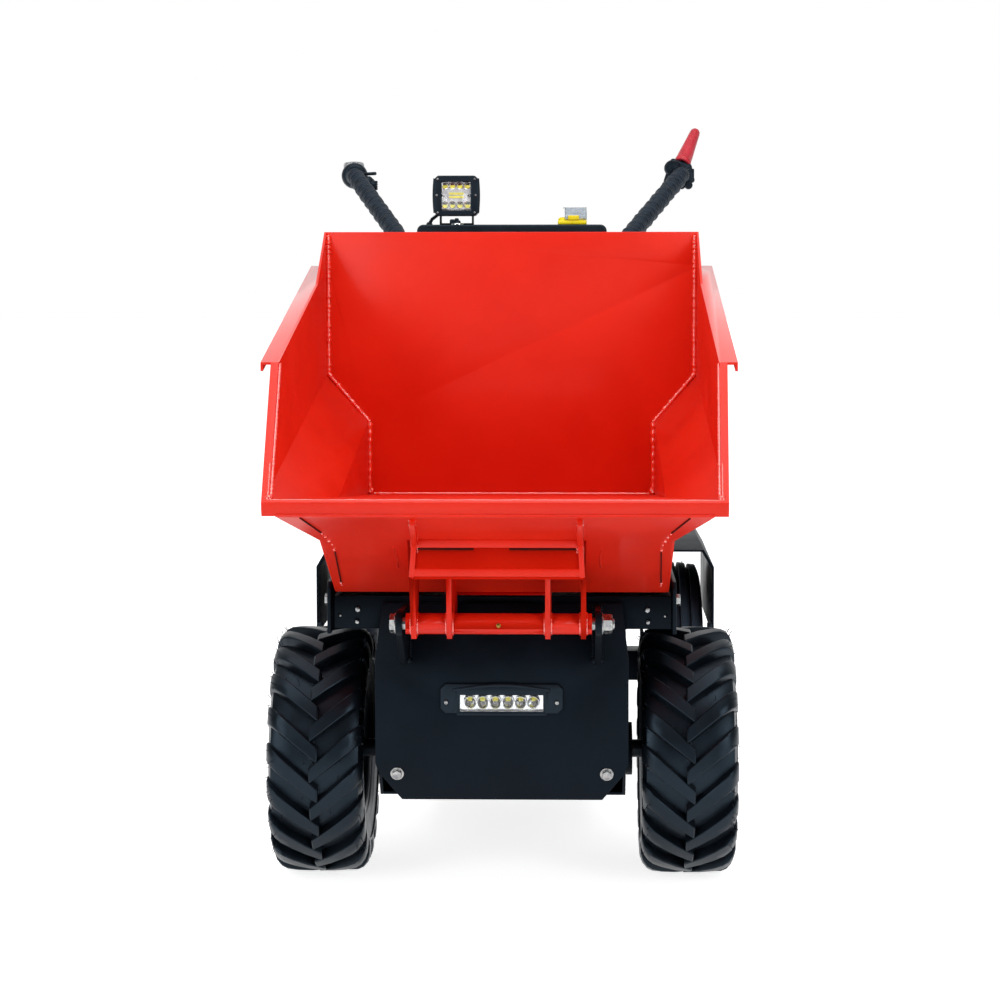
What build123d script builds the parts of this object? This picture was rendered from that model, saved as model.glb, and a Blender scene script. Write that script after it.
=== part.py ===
"""Compact battery site dumper: a forward-tipping skip on a two-axle frame, steered from a rear platform.

Millimetres. The front faces -Y, +Z is up, and the origin is on the ground under the middle of the machine.
"""

from build123d import *
import os
from math import asin, atan2, cos, degrees, hypot, radians, sqrt, tan

# --- layout along the machine ---
WHEELBASE = 791.0
FRONT_OVERHANG = 497.0          # front axle to the skip's lip
REAR_OVERHANG = 620.0           # rear axle to the back edge of the platform
FRONT_AXLE_Y = (FRONT_OVERHANG - WHEELBASE - REAR_OVERHANG) / 2
REAR_AXLE_Y = FRONT_AXLE_Y + WHEELBASE
LIP_Y = FRONT_AXLE_Y - FRONT_OVERHANG
TAIL_Y = REAR_AXLE_Y + REAR_OVERHANG

# --- clearances ---
RUNNING = 0.05                  # radial, shaft in bore
SEAT = 0.3                      # between soft or separate pieces that rest on each other
PIN_PLAY = 0.1                  # radial, fixed pins and bolts in their holes

# --- wheels ---
FRONT_TYRE_R = 205.5
FRONT_TYRE_W = 158.0
FRONT_WHEEL_X = 305.0
FRONT_RIM_R = 101.6
FRONT_RIM_HALF = 63.0
RIM_FLANGE_H = 8.0
RIM_FLANGE_T = 4.0
RIM_WALL = 6.0
WHEEL_FLATS = 24                # tyres and rims are turned in this many flat steps
LUG_H = 17.0
LUG_COUNT = 19                  # on each half of the tread
LUG_W = 30.0                    # measured round the tyre
LUG_SWEEP = 73.0                # how far a lug leans round the tyre from centre to shoulder
LUG_OVERLAP = 7.0               # how far a lug reaches over the tread's centre line
LUG_ROOT = 12.0                 # how deep a lug's foot lies in the carcass
REAR_TYRE_R = 206.0
REAR_TYRE_W = 98.0
REAR_WHEEL_X = 322.0
REAR_RIM_R = 101.6
REAR_RIM_HALF = 33.0
RIB_GROOVE_D = 9.0
RIB_GROOVE_W = 8.0
RIB_PITCH = 21.0
DISC_T = 8.0
SHAFT_R = 15.0
SHAFT_GRIP = 52.0               # length of shaft inside the axle tube
SHAFT_BORE_L = 60.0
SPINDLE_R = 12.5
HUB_R = 32.0
CAP_OUT = 40.0                  # hub cap, from the wheel's middle plane
FRONT_HUB_IN = 60.0
REAR_HUB_IN = 44.0
SPINDLE_OUT = 26.0

# --- skip ---
PLATE = 4.0
SKIP_HALF = 343.5               # outer face of the upper walls
TROUGH_HALF = 268.0             # outer face of the lower walls
BACK_Y = FRONT_AXLE_Y + 365.0
UNDERPAN_Z = 500.0              # underside of the flat bottom
UNDERPAN_FRONT_Y = FRONT_AXLE_Y - 187.0
LIP_Z = 658.0                   # underside of the front slope at the lip
FLOOR_BACK_Z = 598.0            # top of the inner floor where it meets the back wall
BACK_TOP_Z = 1082.0
HIP_BACK_Z = 817.0              # where the shoulder leaves the upper wall, at the back
HIP_DROP = 84.0
HIP_FALL = 9.0                  # degrees, the shoulders fall towards the lip
FLANGE_FRONT = (FRONT_AXLE_Y - 313.0, 876.0)
FLANGE_BACK_Z = 1020.0
FLANGE_W = 25.0
FLANGE_TURN = 14.0
EAR_Y = FRONT_AXLE_Y + 218.0
RIM_T = 10.0
RIM_H = 24.0
RIM_CREASE = 11.0               # height of the lip bar's slanting lower face
RIM_SLANT = 4.0
RIM_NOSE = 3.0
EDGE_BAR_W = 12.0
EDGE_BAR_T = 8.0

# --- skip pivot ---
PIVOT_Y = FRONT_AXLE_Y - 322.0
PIVOT_Z = 471.0
PIVOT_TUBE_R = 16.0
PIVOT_TUBE_HALF = 144.0
PIN_R = 10.0
OUTER_LUG_X = 131.0
INNER_LUG_X = 76.0
HANGER_T = 8.0
HANGER_R = 22.0
HANGER_FRONT = 84.0             # along the slope, from the pivot
HANGER_REAR = 62.0
INNER_HANGER_FRONT = 34.0
SADDLE_SIDE_REAR = 147.0        # the inner hangers run back this far from the pivot
SADDLE_SIDE_H = 34.0
SADDLE_WEB_L = 40.0             # the web between them, behind the bend
SADDLE_T = 5.0
CHANNEL_H = 54.0
CHANNEL_SHELF = 26.0            # the shelf stops this far in front of the pivot
EAR_PLAY = 5.0                  # between the pivot tube's ends and the ears
EAR_INNER_X = PIVOT_TUBE_HALF + EAR_PLAY
EAR_T = 10.0
EAR_R = 20.0
EAR_LOW_Z = 353.0
EAR_NECK = 14.0
BOLT_HEAD = 12.0
NUT_R = 17.0                    # across the corners

# --- frame ---
FRAME_T = 5.0
APRON_Y = FRONT_AXLE_Y - 198.0
APRON_HALF = 204.0
APRON_BOTTOM_Z = 161.0
APRON_BOTTOM_HALF = 162.0
APRON_LOW_Z = 222.0
APRON_HIGH_Z = 391.0
APRON_TUCK = 14.0
APRON_LEAN = 36.0
APRON_CORNER = 6.0
APRON_CORNER_H = 16.0
APRON_TOP_IN = 10.0
APRON_TOP_DROP = 10.0           # from the deck's top to the apron's
BOX_HALF = 200.0                # outer faces of the lower box
BOX_BACK_Y = FRONT_AXLE_Y + 480.0
BOX_CHIN = 44.0                 # how far the box's floor starts behind the apron
GUIDE_PLAY = 6.0                # between the trough's walls and the guide plates
DECK_HALF = TROUGH_HALF + GUIDE_PLAY
DECK_FRONT_Y = FRONT_AXLE_Y - 150.0
DECK_BACK_Y = FRONT_AXLE_Y + 358.0
DECK_LOW_Z = 434.0
DECK_TOP_Z = 488.0
DECK_HOLE_HALF = 60.0
DECK_HOLE_FRONT_Y = FRONT_AXLE_Y - 142.0
DECK_HOLE_BACK_Y = FRONT_AXLE_Y + 90.0
GUIDE_T = 6.0
GUIDE_TOP_Z = 517.0
GUIDE_FRONT_Y = FRONT_AXLE_Y - 200.0
GUIDE_BACK_Y = FRONT_AXLE_Y + 100.0
GUIDE_CORNER = 10.0
GUIDE_RAMP = 60.0
PAD_X = 150.0
PAD_W = 40.0
PAD_IN = 40.0
SPINE_HALF = 130.0
SPINE_LOW_Z = 330.0
SPINE_BACK_Y = FRONT_AXLE_Y + 1100.0
AXLE_HOUSING_R = 33.5
AXLE_FLANGE_R = 44.0
AXLE_FLANGE_T = 10.0
AXLE_HOUSING_HALF = 214.0
ROUND_FLATS = 16                # flats on plain round castings and tubes
GEAR_CASE_HALF = 55.0
GEAR_CASE_R = 72.0
GEAR_CASE_UP = 35.0             # its middle stands this far above the axle
MOTOR_R = 60.0
MOTOR_L = 105.0
BATTERY_PLAY = 5.0

# --- lift ---
FOOT_Y = FRONT_AXLE_Y + 240.0
FOOT_Z = 250.0
EYE_Y = FRONT_AXLE_Y - 103.0
EYE_Z = 466.0
LIFT_PIN_R = 10.0
LIFT_BODY_R = 30.0
LIFT_BODY_L = 310.0
LIFT_BODY_START = 40.0
LIFT_NECK_R = 15.0
LIFT_ROD_R = 14.0
LIFT_ROD_START = 90.0
LIFT_FOOT_R = 22.0
LIFT_EYE_R = 18.0
LIFT_EYE_W = 32.0
EYE_FLATS = 12
FOOT_CHEEK_T = 8.0
FOOT_REACH = 40.0
FOOT_CROWN = 16.0
FORK_T = 6.0
FORK_PLAY = 6.0                 # on each side of the rod's eye
FORK_REACH = 24.0
FORK_NOSE = 14.0
FORK_CROWN = 10.0
PIN_HEAD_R = 13.0
PIN_HEAD_T = 5.0

# --- steering ---
COLUMN_Y = FRONT_AXLE_Y + 520.0
COLUMN_R = 20.0
HEAD_TUBE_R = 30.0
HEAD_TUBE_Z = (500.0, 905.0)
CROSS_BAR_Z = 940.0
BAR_R = 12.5
BAR_HALF = 214.0
BAR_ELBOW_Z = 1066.0
BAR_BEND = (332.0, FRONT_AXLE_Y + 814.0, 1200.0)
GRIP_END = (342.0, FRONT_AXLE_Y + 958.0, 1204.0)
WRAP_R = 15.5
GRIP_R = 16.5
SLEEVE_PLAY = 0.4
SLEEVE_FLATS = 12
BAR_FLATS = 10
BAR_BEND_R = 45.0
CROSS_BAR_S = 26.0              # square cross bar under the arms
MAST_HALF = 40.0
MAST_Y = COLUMN_Y - 90.0
MAST_T = 40.0
MAST_WEB_T = 12.0
MAST_FOOT_HALF = 60.0
MAST_FOOT_T = 8.0
DIAL_R = 27.0
DIAL_FACE_R = 21.0
DIAL_FACE_T = 10.0
LEVER_BOX_X = (-34.0, 24.0)
LEVER_BOX_Z = (-33.0, 38.0)
LEVER_BOX_CORNER = 8.0
LEVER_FOOT_X = 12.0
LEVER_LEAN = (23.0, 60.0, 56.0)
LEVER_R = (14.5, 10.5)          # at its foot and its tip
LEVER_TIP = 4.0

# --- console ---
CONSOLE_HALF = 176.0
CONSOLE_Y = (FRONT_AXLE_Y + 400.0, FRONT_AXLE_Y + 500.0)
CONSOLE_Z = (960.0, 1096.0)
CONSOLE_CORNER = 12.0

# --- lamps and controls ---
LIGHT_Z = 330.0
LIGHT_HALF = 98.0
LIGHT_H = 47.0
LIGHT_T = 6.0
LIGHT_CORNER = 8.0
LIGHT_BODY_HALF = 72.0
LIGHT_BODY_Z = (305.0, 341.0)
LIGHT_BODY_D = 28.0
LENS_HALF = 67.0
LENS_Z = (309.0, 336.0)
LENS_WELL = 18.0
LENS_T = 3.0
LENS_IN = 1.0                   # how far a lens lies behind its frame
LAMP_X = -103.5
LAMP_HALF = 41.5
LAMP_Z = (1112.0, 1187.0)
LAMP_Y = (FRONT_AXLE_Y + 412.0, FRONT_AXLE_Y + 458.0)
LAMP_CORNER = 7.0
LAMP_FRAME = (14.5, 10.0, 12.0)  # sides, bottom, top
LAMP_WELL = 12.0
BRACKET_HALF = 34.0
BRACKET_LEG = 8.0
BRACKET_T = 4.0
BRACKET_Y = (14.0, 34.0)        # behind the lamp's front
LEAD_R = 2.7
LEAD_FLATS = 6
LEAD_DROP_X = 52.0
LEAD_BEND_R = 6.0
KEY_X = LAMP_X - 4.0
KEY_Y = CONSOLE_Y[0] + 12.0
KEY_R = 12.0
KEY_H = 9.0
KEY_FLATS = 12
STOP_X = (85.0, 139.0)
STOP_Y = (FRONT_AXLE_Y + 415.0, FRONT_AXLE_Y + 470.0)
STOP_H = 18.0
STOP_CORNER = 5.0
COVER_IN = 13.0
COVER_H = 14.0

# --- rear axle and platform ---
BEAM_HALF = 250.0
BEAM_S = 60.0
TURNTABLE_HALF = 85.0
TURNTABLE_T = 16.0
POST_HALF = 40.0
KINGPIN_R = 20.0
KINGPIN_CAP_R = 30.0
KINGPIN_CAP_T = 14.0
FENDER_OUT = 388.0
FENDER_IN = 262.0
FENDER_T = 4.0
FENDER_HALF_L = 207.0
FENDER_TOP_Z = 480.0
FENDER_DROP = 14.0              # from the level middle of the top to its front and back edges
FENDER_LEVEL_HALF = 58.0
FENDER_BEVEL_X = 28.0
FENDER_BEVEL_Z = 48.0
FENDER_SKIRT_Z = 300.0
STRAP_HALF = 30.0
STRAP_T = 5.0
STRAP_FOOT_Z = 16.0
STRAP_TAB = 40.0
PLATFORM_HALF = 210.0
PLATFORM_Z = 215.0
PLATFORM_Y = FRONT_AXLE_Y + 1125.0
PLATFORM_T = 6.0
PLATFORM_EDGE = 40.0
PLATFORM_WALL = 5.0


# --- small helpers -------------------------------------------------------------------------------
def block(x, y, z):
    """Box from three (low, high) pairs."""
    size = (x[1] - x[0], y[1] - y[0], z[1] - z[0])
    return Pos((x[0] + x[1]) / 2, (y[0] + y[1]) / 2, (z[0] + z[1]) / 2) * Box(*size)


def prism_x(outline, x0, x1):
    """Outline of (y, z) points carried along X."""
    face = Plane.YZ.offset(x0) * Polygon(*outline, align=None)
    return extrude(face, amount=x1 - x0, dir=(1, 0, 0))


def prism_y(outline, y0, y1):
    """Outline of (x, z) points carried along Y."""
    plane = Plane(origin=(0, y1, 0), x_dir=(1, 0, 0), z_dir=(0, -1, 0))
    return extrude(plane * Polygon(*outline, align=None), amount=y1 - y0, dir=(0, -1, 0))


def rod(start, end, radius, flats=None):
    """Round bar between two points, or one with this many flats that touch the radius."""
    run = Vector(*end) - Vector(*start)
    outline = RegularPolygon(radius, flats, major_radius=False) if flats else Circle(radius)
    return extrude(Plane(origin=start, z_dir=run) * outline, amount=run.length)


def cross_rod(half, y, z, radius, flats=None):
    """Round bar along X, centred on the machine."""
    return rod((-half, y, z), (half, y, z), radius, flats)


def sheet(corners, inward, thickness=PLATE):
    """Flat plate whose outer face has these 3-D corners."""
    face = Face(Wire.make_polygon([Vector(*c) for c in corners], close=True))
    normal = face.normal_at()
    if normal.dot(Vector(*inward)) < 0:
        normal = -normal
    return extrude(face, amount=thickness, dir=normal)


def flat_ring(section):
    """Section of (along the axle, radius) points carried round the axle in WHEEL_FLATS flat steps."""
    half = radians(180 / WHEEL_FLATS)
    reach = 1.1 * max(radius for _, radius in section)
    width = 1.1 * max(abs(x) for x, _ in section)
    flat = Plane.XZ * Polygon(*[(x, radius * cos(half)) for x, radius in section], align=None)
    slab = extrude(flat, amount=reach * tan(half), both=True)
    step = slab & prism_x([(0, 0), (reach * tan(half), reach), (-reach * tan(half), reach)], -width, width)
    steps = [Rot(X=(n + 0.5) * 360 / WHEEL_FLATS) * step for n in range(WHEEL_FLATS)]
    return steps[0].fuse(*steps[1:])


def between(start, end, share):
    """Point that lies this share of the way from start to end."""
    return tuple(a + (b - a) * share for a, b in zip(start, end))


def both_sides(shape):
    return shape + mirror(shape, about=Plane.YZ)


def largest(shape):
    """The main solid of a trimmed shape, without the offcuts."""
    return max(shape.solids(), key=lambda solid: solid.volume)


def one_solid(shape):
    return shape.solids()[0] if len(shape.solids()) == 1 else shape


def write(name, shape):
    export_step(one_solid(shape), f"parts/{name}.step")


# --- skip ----------------------------------------------------------------------------------------
def hip_z(y):
    """Height of the shoulder's outer edge, on the upper wall."""
    return HIP_BACK_Z - (BACK_Y - y) * tan(radians(HIP_FALL))


def slope_z(y):
    """Height of the front slope's underside."""
    return UNDERPAN_Z + (UNDERPAN_FRONT_Y - y) * (LIP_Z - UNDERPAN_Z) / (UNDERPAN_FRONT_Y - LIP_Y)


def slope_meets_trough():
    """Where the trough's top edge runs into the front slope."""
    fall = tan(radians(HIP_FALL))
    rise = (LIP_Z - UNDERPAN_Z) / (UNDERPAN_FRONT_Y - LIP_Y)
    y = (UNDERPAN_Z + UNDERPAN_FRONT_Y * rise - (HIP_BACK_Z - HIP_DROP - BACK_Y * fall)) / (rise + fall)
    return y, slope_z(y)


def lip_hip_x():
    """Half width of the front slope at the lip, where the shoulder starts."""
    return SKIP_HALF - (hip_z(LIP_Y) - LIP_Z) * (SKIP_HALF - TROUGH_HALF) / HIP_DROP


def flange_z(y):
    """Height of the side's top flange, which falls towards the front."""
    front_y, front_z = FLANGE_FRONT
    return front_z + (y - front_y) * (FLANGE_BACK_Z - front_z) / (BACK_Y - front_y)


def skip_rim():
    """Lip bar, creased along its front, with the two bars that edge the side walls' open front."""
    top = LIP_Z + RIM_H
    lip = prism_x([(LIP_Y + RIM_NOSE, top), (LIP_Y, top - RIM_NOSE), (LIP_Y, LIP_Z + RIM_CREASE),
                   (LIP_Y + RIM_SLANT, LIP_Z), (LIP_Y + RIM_T, LIP_Z), (LIP_Y + RIM_T, top)], -SKIP_HALF, SKIP_HALF)
    front_y, front_z = FLANGE_FRONT
    back = EDGE_BAR_T * hypot(front_y - LIP_Y, front_z - top) / (front_z - top)
    edge = prism_x([(LIP_Y, top - RIM_NOSE), (front_y, front_z), (front_y + back, front_z), (LIP_Y + back, top),
                    (LIP_Y + RIM_T, top), (LIP_Y + RIM_T, top - RIM_NOSE)], SKIP_HALF - EDGE_BAR_W, SKIP_HALF)
    return lip + both_sides(edge)


def skip_side():
    """Right-hand side: upper wall with its ear, sloping shoulder, lower wall, and top flange."""
    inner_back = BACK_Y - PLATE
    upper = prism_x([(LIP_Y, hip_z(LIP_Y)), (LIP_Y, LIP_Z + RIM_H - RIM_NOSE), FLANGE_FRONT, (EAR_Y, flange_z(EAR_Y)),
                     (inner_back, BACK_TOP_Z), (inner_back, hip_z(inner_back))],
                    SKIP_HALF - PLATE, SKIP_HALF)
    meet_y, meet_z = slope_meets_trough()
    spread = SKIP_HALF - TROUGH_HALF
    inner_x = TROUGH_HALF - PLATE + PLATE * HIP_DROP / hypot(spread, HIP_DROP)
    reach = (lip_hip_x() - inner_x) / (lip_hip_x() - TROUGH_HALF)
    corner = between((lip_hip_x(), LIP_Y, LIP_Z), (TROUGH_HALF, meet_y, meet_z), reach)
    drop = (SKIP_HALF - inner_x) * HIP_DROP / spread
    over = PLATE * HIP_DROP / spread
    shoulder = sheet([(SKIP_HALF + PLATE, LIP_Y, hip_z(LIP_Y) + over),
                      (SKIP_HALF + PLATE, inner_back, hip_z(inner_back) + over),
                      (inner_x, inner_back, hip_z(inner_back) - drop), corner, (lip_hip_x(), LIP_Y, LIP_Z)],
                     inward=(-1, 0, 1)) & block((0, SKIP_HALF), (LIP_Y, BACK_Y), (UNDERPAN_Z, BACK_TOP_Z))
    lower = prism_x([(UNDERPAN_FRONT_Y, UNDERPAN_Z), (meet_y, meet_z), (inner_back, hip_z(inner_back) - HIP_DROP),
                     (inner_back, UNDERPAN_Z)], TROUGH_HALF - PLATE, TROUGH_HALF)
    lie = [FLANGE_FRONT, (BACK_Y, flange_z(BACK_Y))]
    flat = prism_x(lie + [(y, z - PLATE) for y, z in reversed(lie)], SKIP_HALF - PLATE, SKIP_HALF + FLANGE_W)
    turn = prism_x(lie + [(y, z - FLANGE_TURN) for y, z in reversed(lie)],
                   SKIP_HALF + FLANGE_W - PLATE, SKIP_HALF + FLANGE_W)
    whole = upper + shoulder + lower + flat + turn
    return whole & block((0, SKIP_HALF + FLANGE_W), (LIP_Y + RIM_T, BACK_Y), (UNDERPAN_Z, BACK_TOP_Z))


def skip_back():
    """Back wall, standing inside the flanges' ends and closing both the hopper and the trough."""
    half = [(SKIP_HALF, BACK_TOP_Z), (SKIP_HALF, hip_z(BACK_Y)), (TROUGH_HALF, hip_z(BACK_Y) - HIP_DROP),
            (TROUGH_HALF, UNDERPAN_Z)]
    outline = half + [(-x, z) for x, z in reversed(half)]
    return prism_y(outline, BACK_Y - PLATE, BACK_Y)


def skip_floor():
    """Inner floor, rising gently from the back wall to the top of the lip bar."""
    half = SKIP_HALF - PLATE
    front = (LIP_Y + RIM_T, LIP_Z + RIM_H)
    back = (BACK_Y - PLATE, FLOOR_BACK_Z)
    return sheet([(-half, *front), (half, *front), (half, *back), (-half, *back)], inward=(0, 0, -1))


def skip_underpan():
    """Flat bottom and front slope, one plate bent at the bottom's front edge."""
    inner = TROUGH_HALF - PLATE
    bottom = block((-inner, inner), (UNDERPAN_FRONT_Y, BACK_Y - PLATE), (UNDERPAN_Z, UNDERPAN_Z + PLATE))
    meet_y, meet_z = slope_meets_trough()
    lip_x = lip_hip_x()
    slope = sheet([(-inner, UNDERPAN_FRONT_Y, UNDERPAN_Z), (inner, UNDERPAN_FRONT_Y, UNDERPAN_Z),
                   (TROUGH_HALF, meet_y, meet_z), (lip_x, LIP_Y, LIP_Z), (-lip_x, LIP_Y, LIP_Z),
                   (-TROUGH_HALF, meet_y, meet_z)], inward=(0, 0, 1))
    return bottom + slope


def hanger(x, front, rear_edge):
    """One hanger plate, from the front slope down to the pivot tube, with this rear edge of (y, z) points."""
    y_front = PIVOT_Y - front
    cut = HANGER_R / 2
    outline = [(y_front, slope_z(y_front))] + rear_edge + [
        (PIVOT_Y + cut, PIVOT_Z - HANGER_R), (PIVOT_Y - cut, PIVOT_Z - HANGER_R), (PIVOT_Y - HANGER_R, PIVOT_Z)]
    return prism_x(outline, x - HANGER_T / 2, x + HANGER_T / 2)


def outer_hanger():
    y_rear = PIVOT_Y + HANGER_REAR
    return hanger(OUTER_LUG_X, HANGER_FRONT, [(y_rear, slope_z(y_rear)), (PIVOT_Y + HANGER_R, PIVOT_Z)])


def saddle():
    """Inner hangers, run back under the bend as the sides of one U-shaped bracket with a web under the flat bottom."""
    y_rear = PIVOT_Y + SADDLE_SIDE_REAR
    side = hanger(INNER_LUG_X, INNER_HANGER_FRONT, [(UNDERPAN_FRONT_Y, UNDERPAN_Z), (y_rear, UNDERPAN_Z),
                                                    (y_rear, UNDERPAN_Z - SADDLE_SIDE_H)])
    web = block((-INNER_LUG_X, INNER_LUG_X), (UNDERPAN_FRONT_Y, UNDERPAN_FRONT_Y + SADDLE_WEB_L),
                (UNDERPAN_Z - SADDLE_T, UNDERPAN_Z))
    return both_sides(side) + web


def skip_hangers():
    """Pivot tube in four hanger plates with a cross channel, and the fork that the lift's eye sits in.

    The fork's pin is held by the eye and stops short of the cheeks, whose pin heads show outside.
    """
    front = PIVOT_Y - HANGER_FRONT
    web_low = slope_z(front) - CHANNEL_H
    web = prism_x([(front, slope_z(front)), (front + FRAME_T, slope_z(front + FRAME_T)),
                   (front + FRAME_T, web_low), (front, web_low)], -OUTER_LUG_X, OUTER_LUG_X)
    shelf = block((-OUTER_LUG_X, OUTER_LUG_X), (front, PIVOT_Y - CHANNEL_SHELF), (web_low - FRAME_T, web_low))
    tube = cross_rod(PIVOT_TUBE_HALF, PIVOT_Y, PIVOT_Z, PIVOT_TUBE_R, ROUND_FLATS)
    bore = cross_rod(PIVOT_TUBE_HALF, PIVOT_Y, PIVOT_Z, PIN_R + RUNNING, EYE_FLATS)
    return both_sides(outer_hanger()) + saddle() + web + shelf + tube - bore + lift_fork()


def lift_fork():
    cheek_x = LIFT_EYE_W / 2 + FORK_PLAY
    low = EYE_Z - FORK_CROWN
    cheek = prism_x([(EYE_Y - FORK_REACH, UNDERPAN_Z), (EYE_Y + FORK_REACH, UNDERPAN_Z), (EYE_Y + FORK_NOSE, low),
                     (EYE_Y - FORK_NOSE, low)], cheek_x, cheek_x + FORK_T)
    head = rod((cheek_x + FORK_T, EYE_Y, EYE_Z), (cheek_x + FORK_T + PIN_HEAD_T, EYE_Y, EYE_Z), PIN_HEAD_R, EYE_FLATS)
    return both_sides(cheek + head)


# --- chassis -------------------------------------------------------------------------------------
def apron_line():
    """Front face of the apron, from its bottom edge up, as (y, z)."""
    return [(APRON_Y + APRON_TUCK, APRON_BOTTOM_Z), (APRON_Y, APRON_LOW_Z), (APRON_Y, APRON_HIGH_Z),
            (APRON_Y + APRON_LEAN, DECK_TOP_Z - APRON_TOP_DROP)]


def front_apron():
    """Black bent plate across the front, with the cut-out for the flush lamp."""
    line = apron_line()
    band = prism_x(line + [(y + FRAME_T, z) for y, z in reversed(line)], -APRON_HALF, APRON_HALF)
    half = [(APRON_HALF - APRON_TOP_IN, line[-1][1]), (APRON_HALF, APRON_HIGH_Z), (APRON_HALF, APRON_LOW_Z),
            (APRON_HALF - APRON_CORNER, APRON_LOW_Z - APRON_CORNER_H), (APRON_BOTTOM_HALF, APRON_BOTTOM_Z)]
    mask = prism_y(half + [(-x, z) for x, z in reversed(half)], APRON_Y - FRAME_T, APRON_Y + APRON_LEAN + 2 * FRAME_T)
    hole_half = LIGHT_BODY_HALF + PIN_PLAY
    hole = block((-hole_half, hole_half), (APRON_Y - FRAME_T, APRON_Y + 2 * FRAME_T),
                 (LIGHT_BODY_Z[0] - PIN_PLAY, LIGHT_BODY_Z[1] + PIN_PLAY))
    return (band & mask) - hole


def front_light_housing():
    """Long flush lamp: flange on the apron's face and the body behind it."""
    flange = block((-LIGHT_HALF, LIGHT_HALF), (APRON_Y - LIGHT_T, APRON_Y), (LIGHT_Z - LIGHT_H / 2, LIGHT_Z + LIGHT_H / 2))
    flange = chamfer(flange.edges().filter_by(Axis.Y), LIGHT_CORNER)
    body = block((-LIGHT_BODY_HALF, LIGHT_BODY_HALF), (APRON_Y, APRON_Y + LIGHT_BODY_D), LIGHT_BODY_Z)
    well = block((-LENS_HALF, LENS_HALF), (APRON_Y - LIGHT_T, APRON_Y + LENS_WELL), LENS_Z)
    return flange + body - well


def lamp_lenses():
    """Clear covers of the flush lamp and of the work lamp."""
    front = APRON_Y - LIGHT_T + LENS_IN
    flush = block((-LENS_HALF + PIN_PLAY, LENS_HALF - PIN_PLAY), (front, front + LENS_T),
                  (LENS_Z[0] + PIN_PLAY, LENS_Z[1] - PIN_PLAY))
    well_x, well_z = work_light_well()
    work = block((well_x[0] + PIN_PLAY, well_x[1] - PIN_PLAY), (LAMP_Y[0] + LENS_IN, LAMP_Y[0] + LENS_IN + LENS_T),
                 (well_z[0] + PIN_PLAY, well_z[1] - PIN_PLAY))
    return Compound(children=[flush, work])


def pivot_ears():
    """Two plates on the apron that hold the skip's pivot pin."""
    high_z = DECK_TOP_Z - APRON_TOP_DROP - 2
    slope_y = APRON_Y + APRON_LEAN * (high_z - APRON_HIGH_Z) / (apron_line()[-1][1] - APRON_HIGH_Z)
    outline = [(APRON_Y, EAR_LOW_Z), (APRON_Y, APRON_HIGH_Z), (slope_y, high_z), (PIVOT_Y, PIVOT_Z + EAR_R),
               (PIVOT_Y - EAR_R, PIVOT_Z), (PIVOT_Y - EAR_NECK, PIVOT_Z - EAR_NECK)]
    end = EAR_INNER_X + EAR_T
    ear = prism_x(outline, EAR_INNER_X, end)
    ear += rod((EAR_INNER_X, PIVOT_Y, PIVOT_Z), (end, PIVOT_Y, PIVOT_Z), EAR_R, EYE_FLATS)
    return both_sides(ear - rod((EAR_INNER_X, PIVOT_Y, PIVOT_Z), (end, PIVOT_Y, PIVOT_Z), PIN_R + PIN_PLAY, EYE_FLATS))


def pivot_pin():
    """Headed pin through both ears and the skip's tube, with its nut."""
    end = EAR_INNER_X + EAR_T
    shank = cross_rod(end, PIVOT_Y, PIVOT_Z, PIN_R)
    head = rod((end, PIVOT_Y, PIVOT_Z), (end + BOLT_HEAD, PIVOT_Y, PIVOT_Z), NUT_R * cos(radians(30)), 6)
    return shank + both_sides(head)


def frame():
    """Welded lower box behind the apron: side walls, floor, back, and the lift's foot bracket."""
    line = apron_line()
    lean = (line[3][0] - line[2][0]) / (line[3][1] - line[2][1])
    skin = APRON_Y + FRAME_T
    chin = skin + BOX_CHIN
    wall = prism_x([(chin, APRON_BOTTOM_Z), (skin, APRON_LOW_Z), (skin, APRON_HIGH_Z),
                    (skin + lean * (DECK_LOW_Z - APRON_HIGH_Z), DECK_LOW_Z), (BOX_BACK_Y, DECK_LOW_Z),
                    (BOX_BACK_Y, APRON_BOTTOM_Z)], BOX_HALF - FRAME_T, BOX_HALF)
    wall -= rod((BOX_HALF - FRAME_T, FRONT_AXLE_Y, FRONT_TYRE_R), (BOX_HALF, FRONT_AXLE_Y, FRONT_TYRE_R),
                AXLE_HOUSING_R + PIN_PLAY, ROUND_FLATS)
    inside = BOX_HALF - FRAME_T
    floor = block((-inside, inside), (chin, BOX_BACK_Y), (APRON_BOTTOM_Z, APRON_BOTTOM_Z + FRAME_T))
    rear = block((-inside, inside), (BOX_BACK_Y - FRAME_T, BOX_BACK_Y), (APRON_BOTTOM_Z, DECK_LOW_Z))
    return both_sides(wall) + floor + rear + lift_foot()


def lift_foot():
    """Bracket and pin that the lift's lower eye turns on."""
    base_z = APRON_BOTTOM_Z + FRAME_T
    cheek_x = LIFT_EYE_W / 2 + 1
    end_x = cheek_x + FOOT_CHEEK_T
    cheek = prism_x([(FOOT_Y - FOOT_REACH, base_z), (FOOT_Y + FOOT_REACH, base_z),
                     (FOOT_Y + FOOT_CROWN, FOOT_Z + FOOT_CROWN), (FOOT_Y - FOOT_CROWN, FOOT_Z + FOOT_CROWN)],
                    cheek_x, end_x)
    return both_sides(cheek) + cross_rod(end_x, FOOT_Y, FOOT_Z, LIFT_PIN_R)


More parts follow.
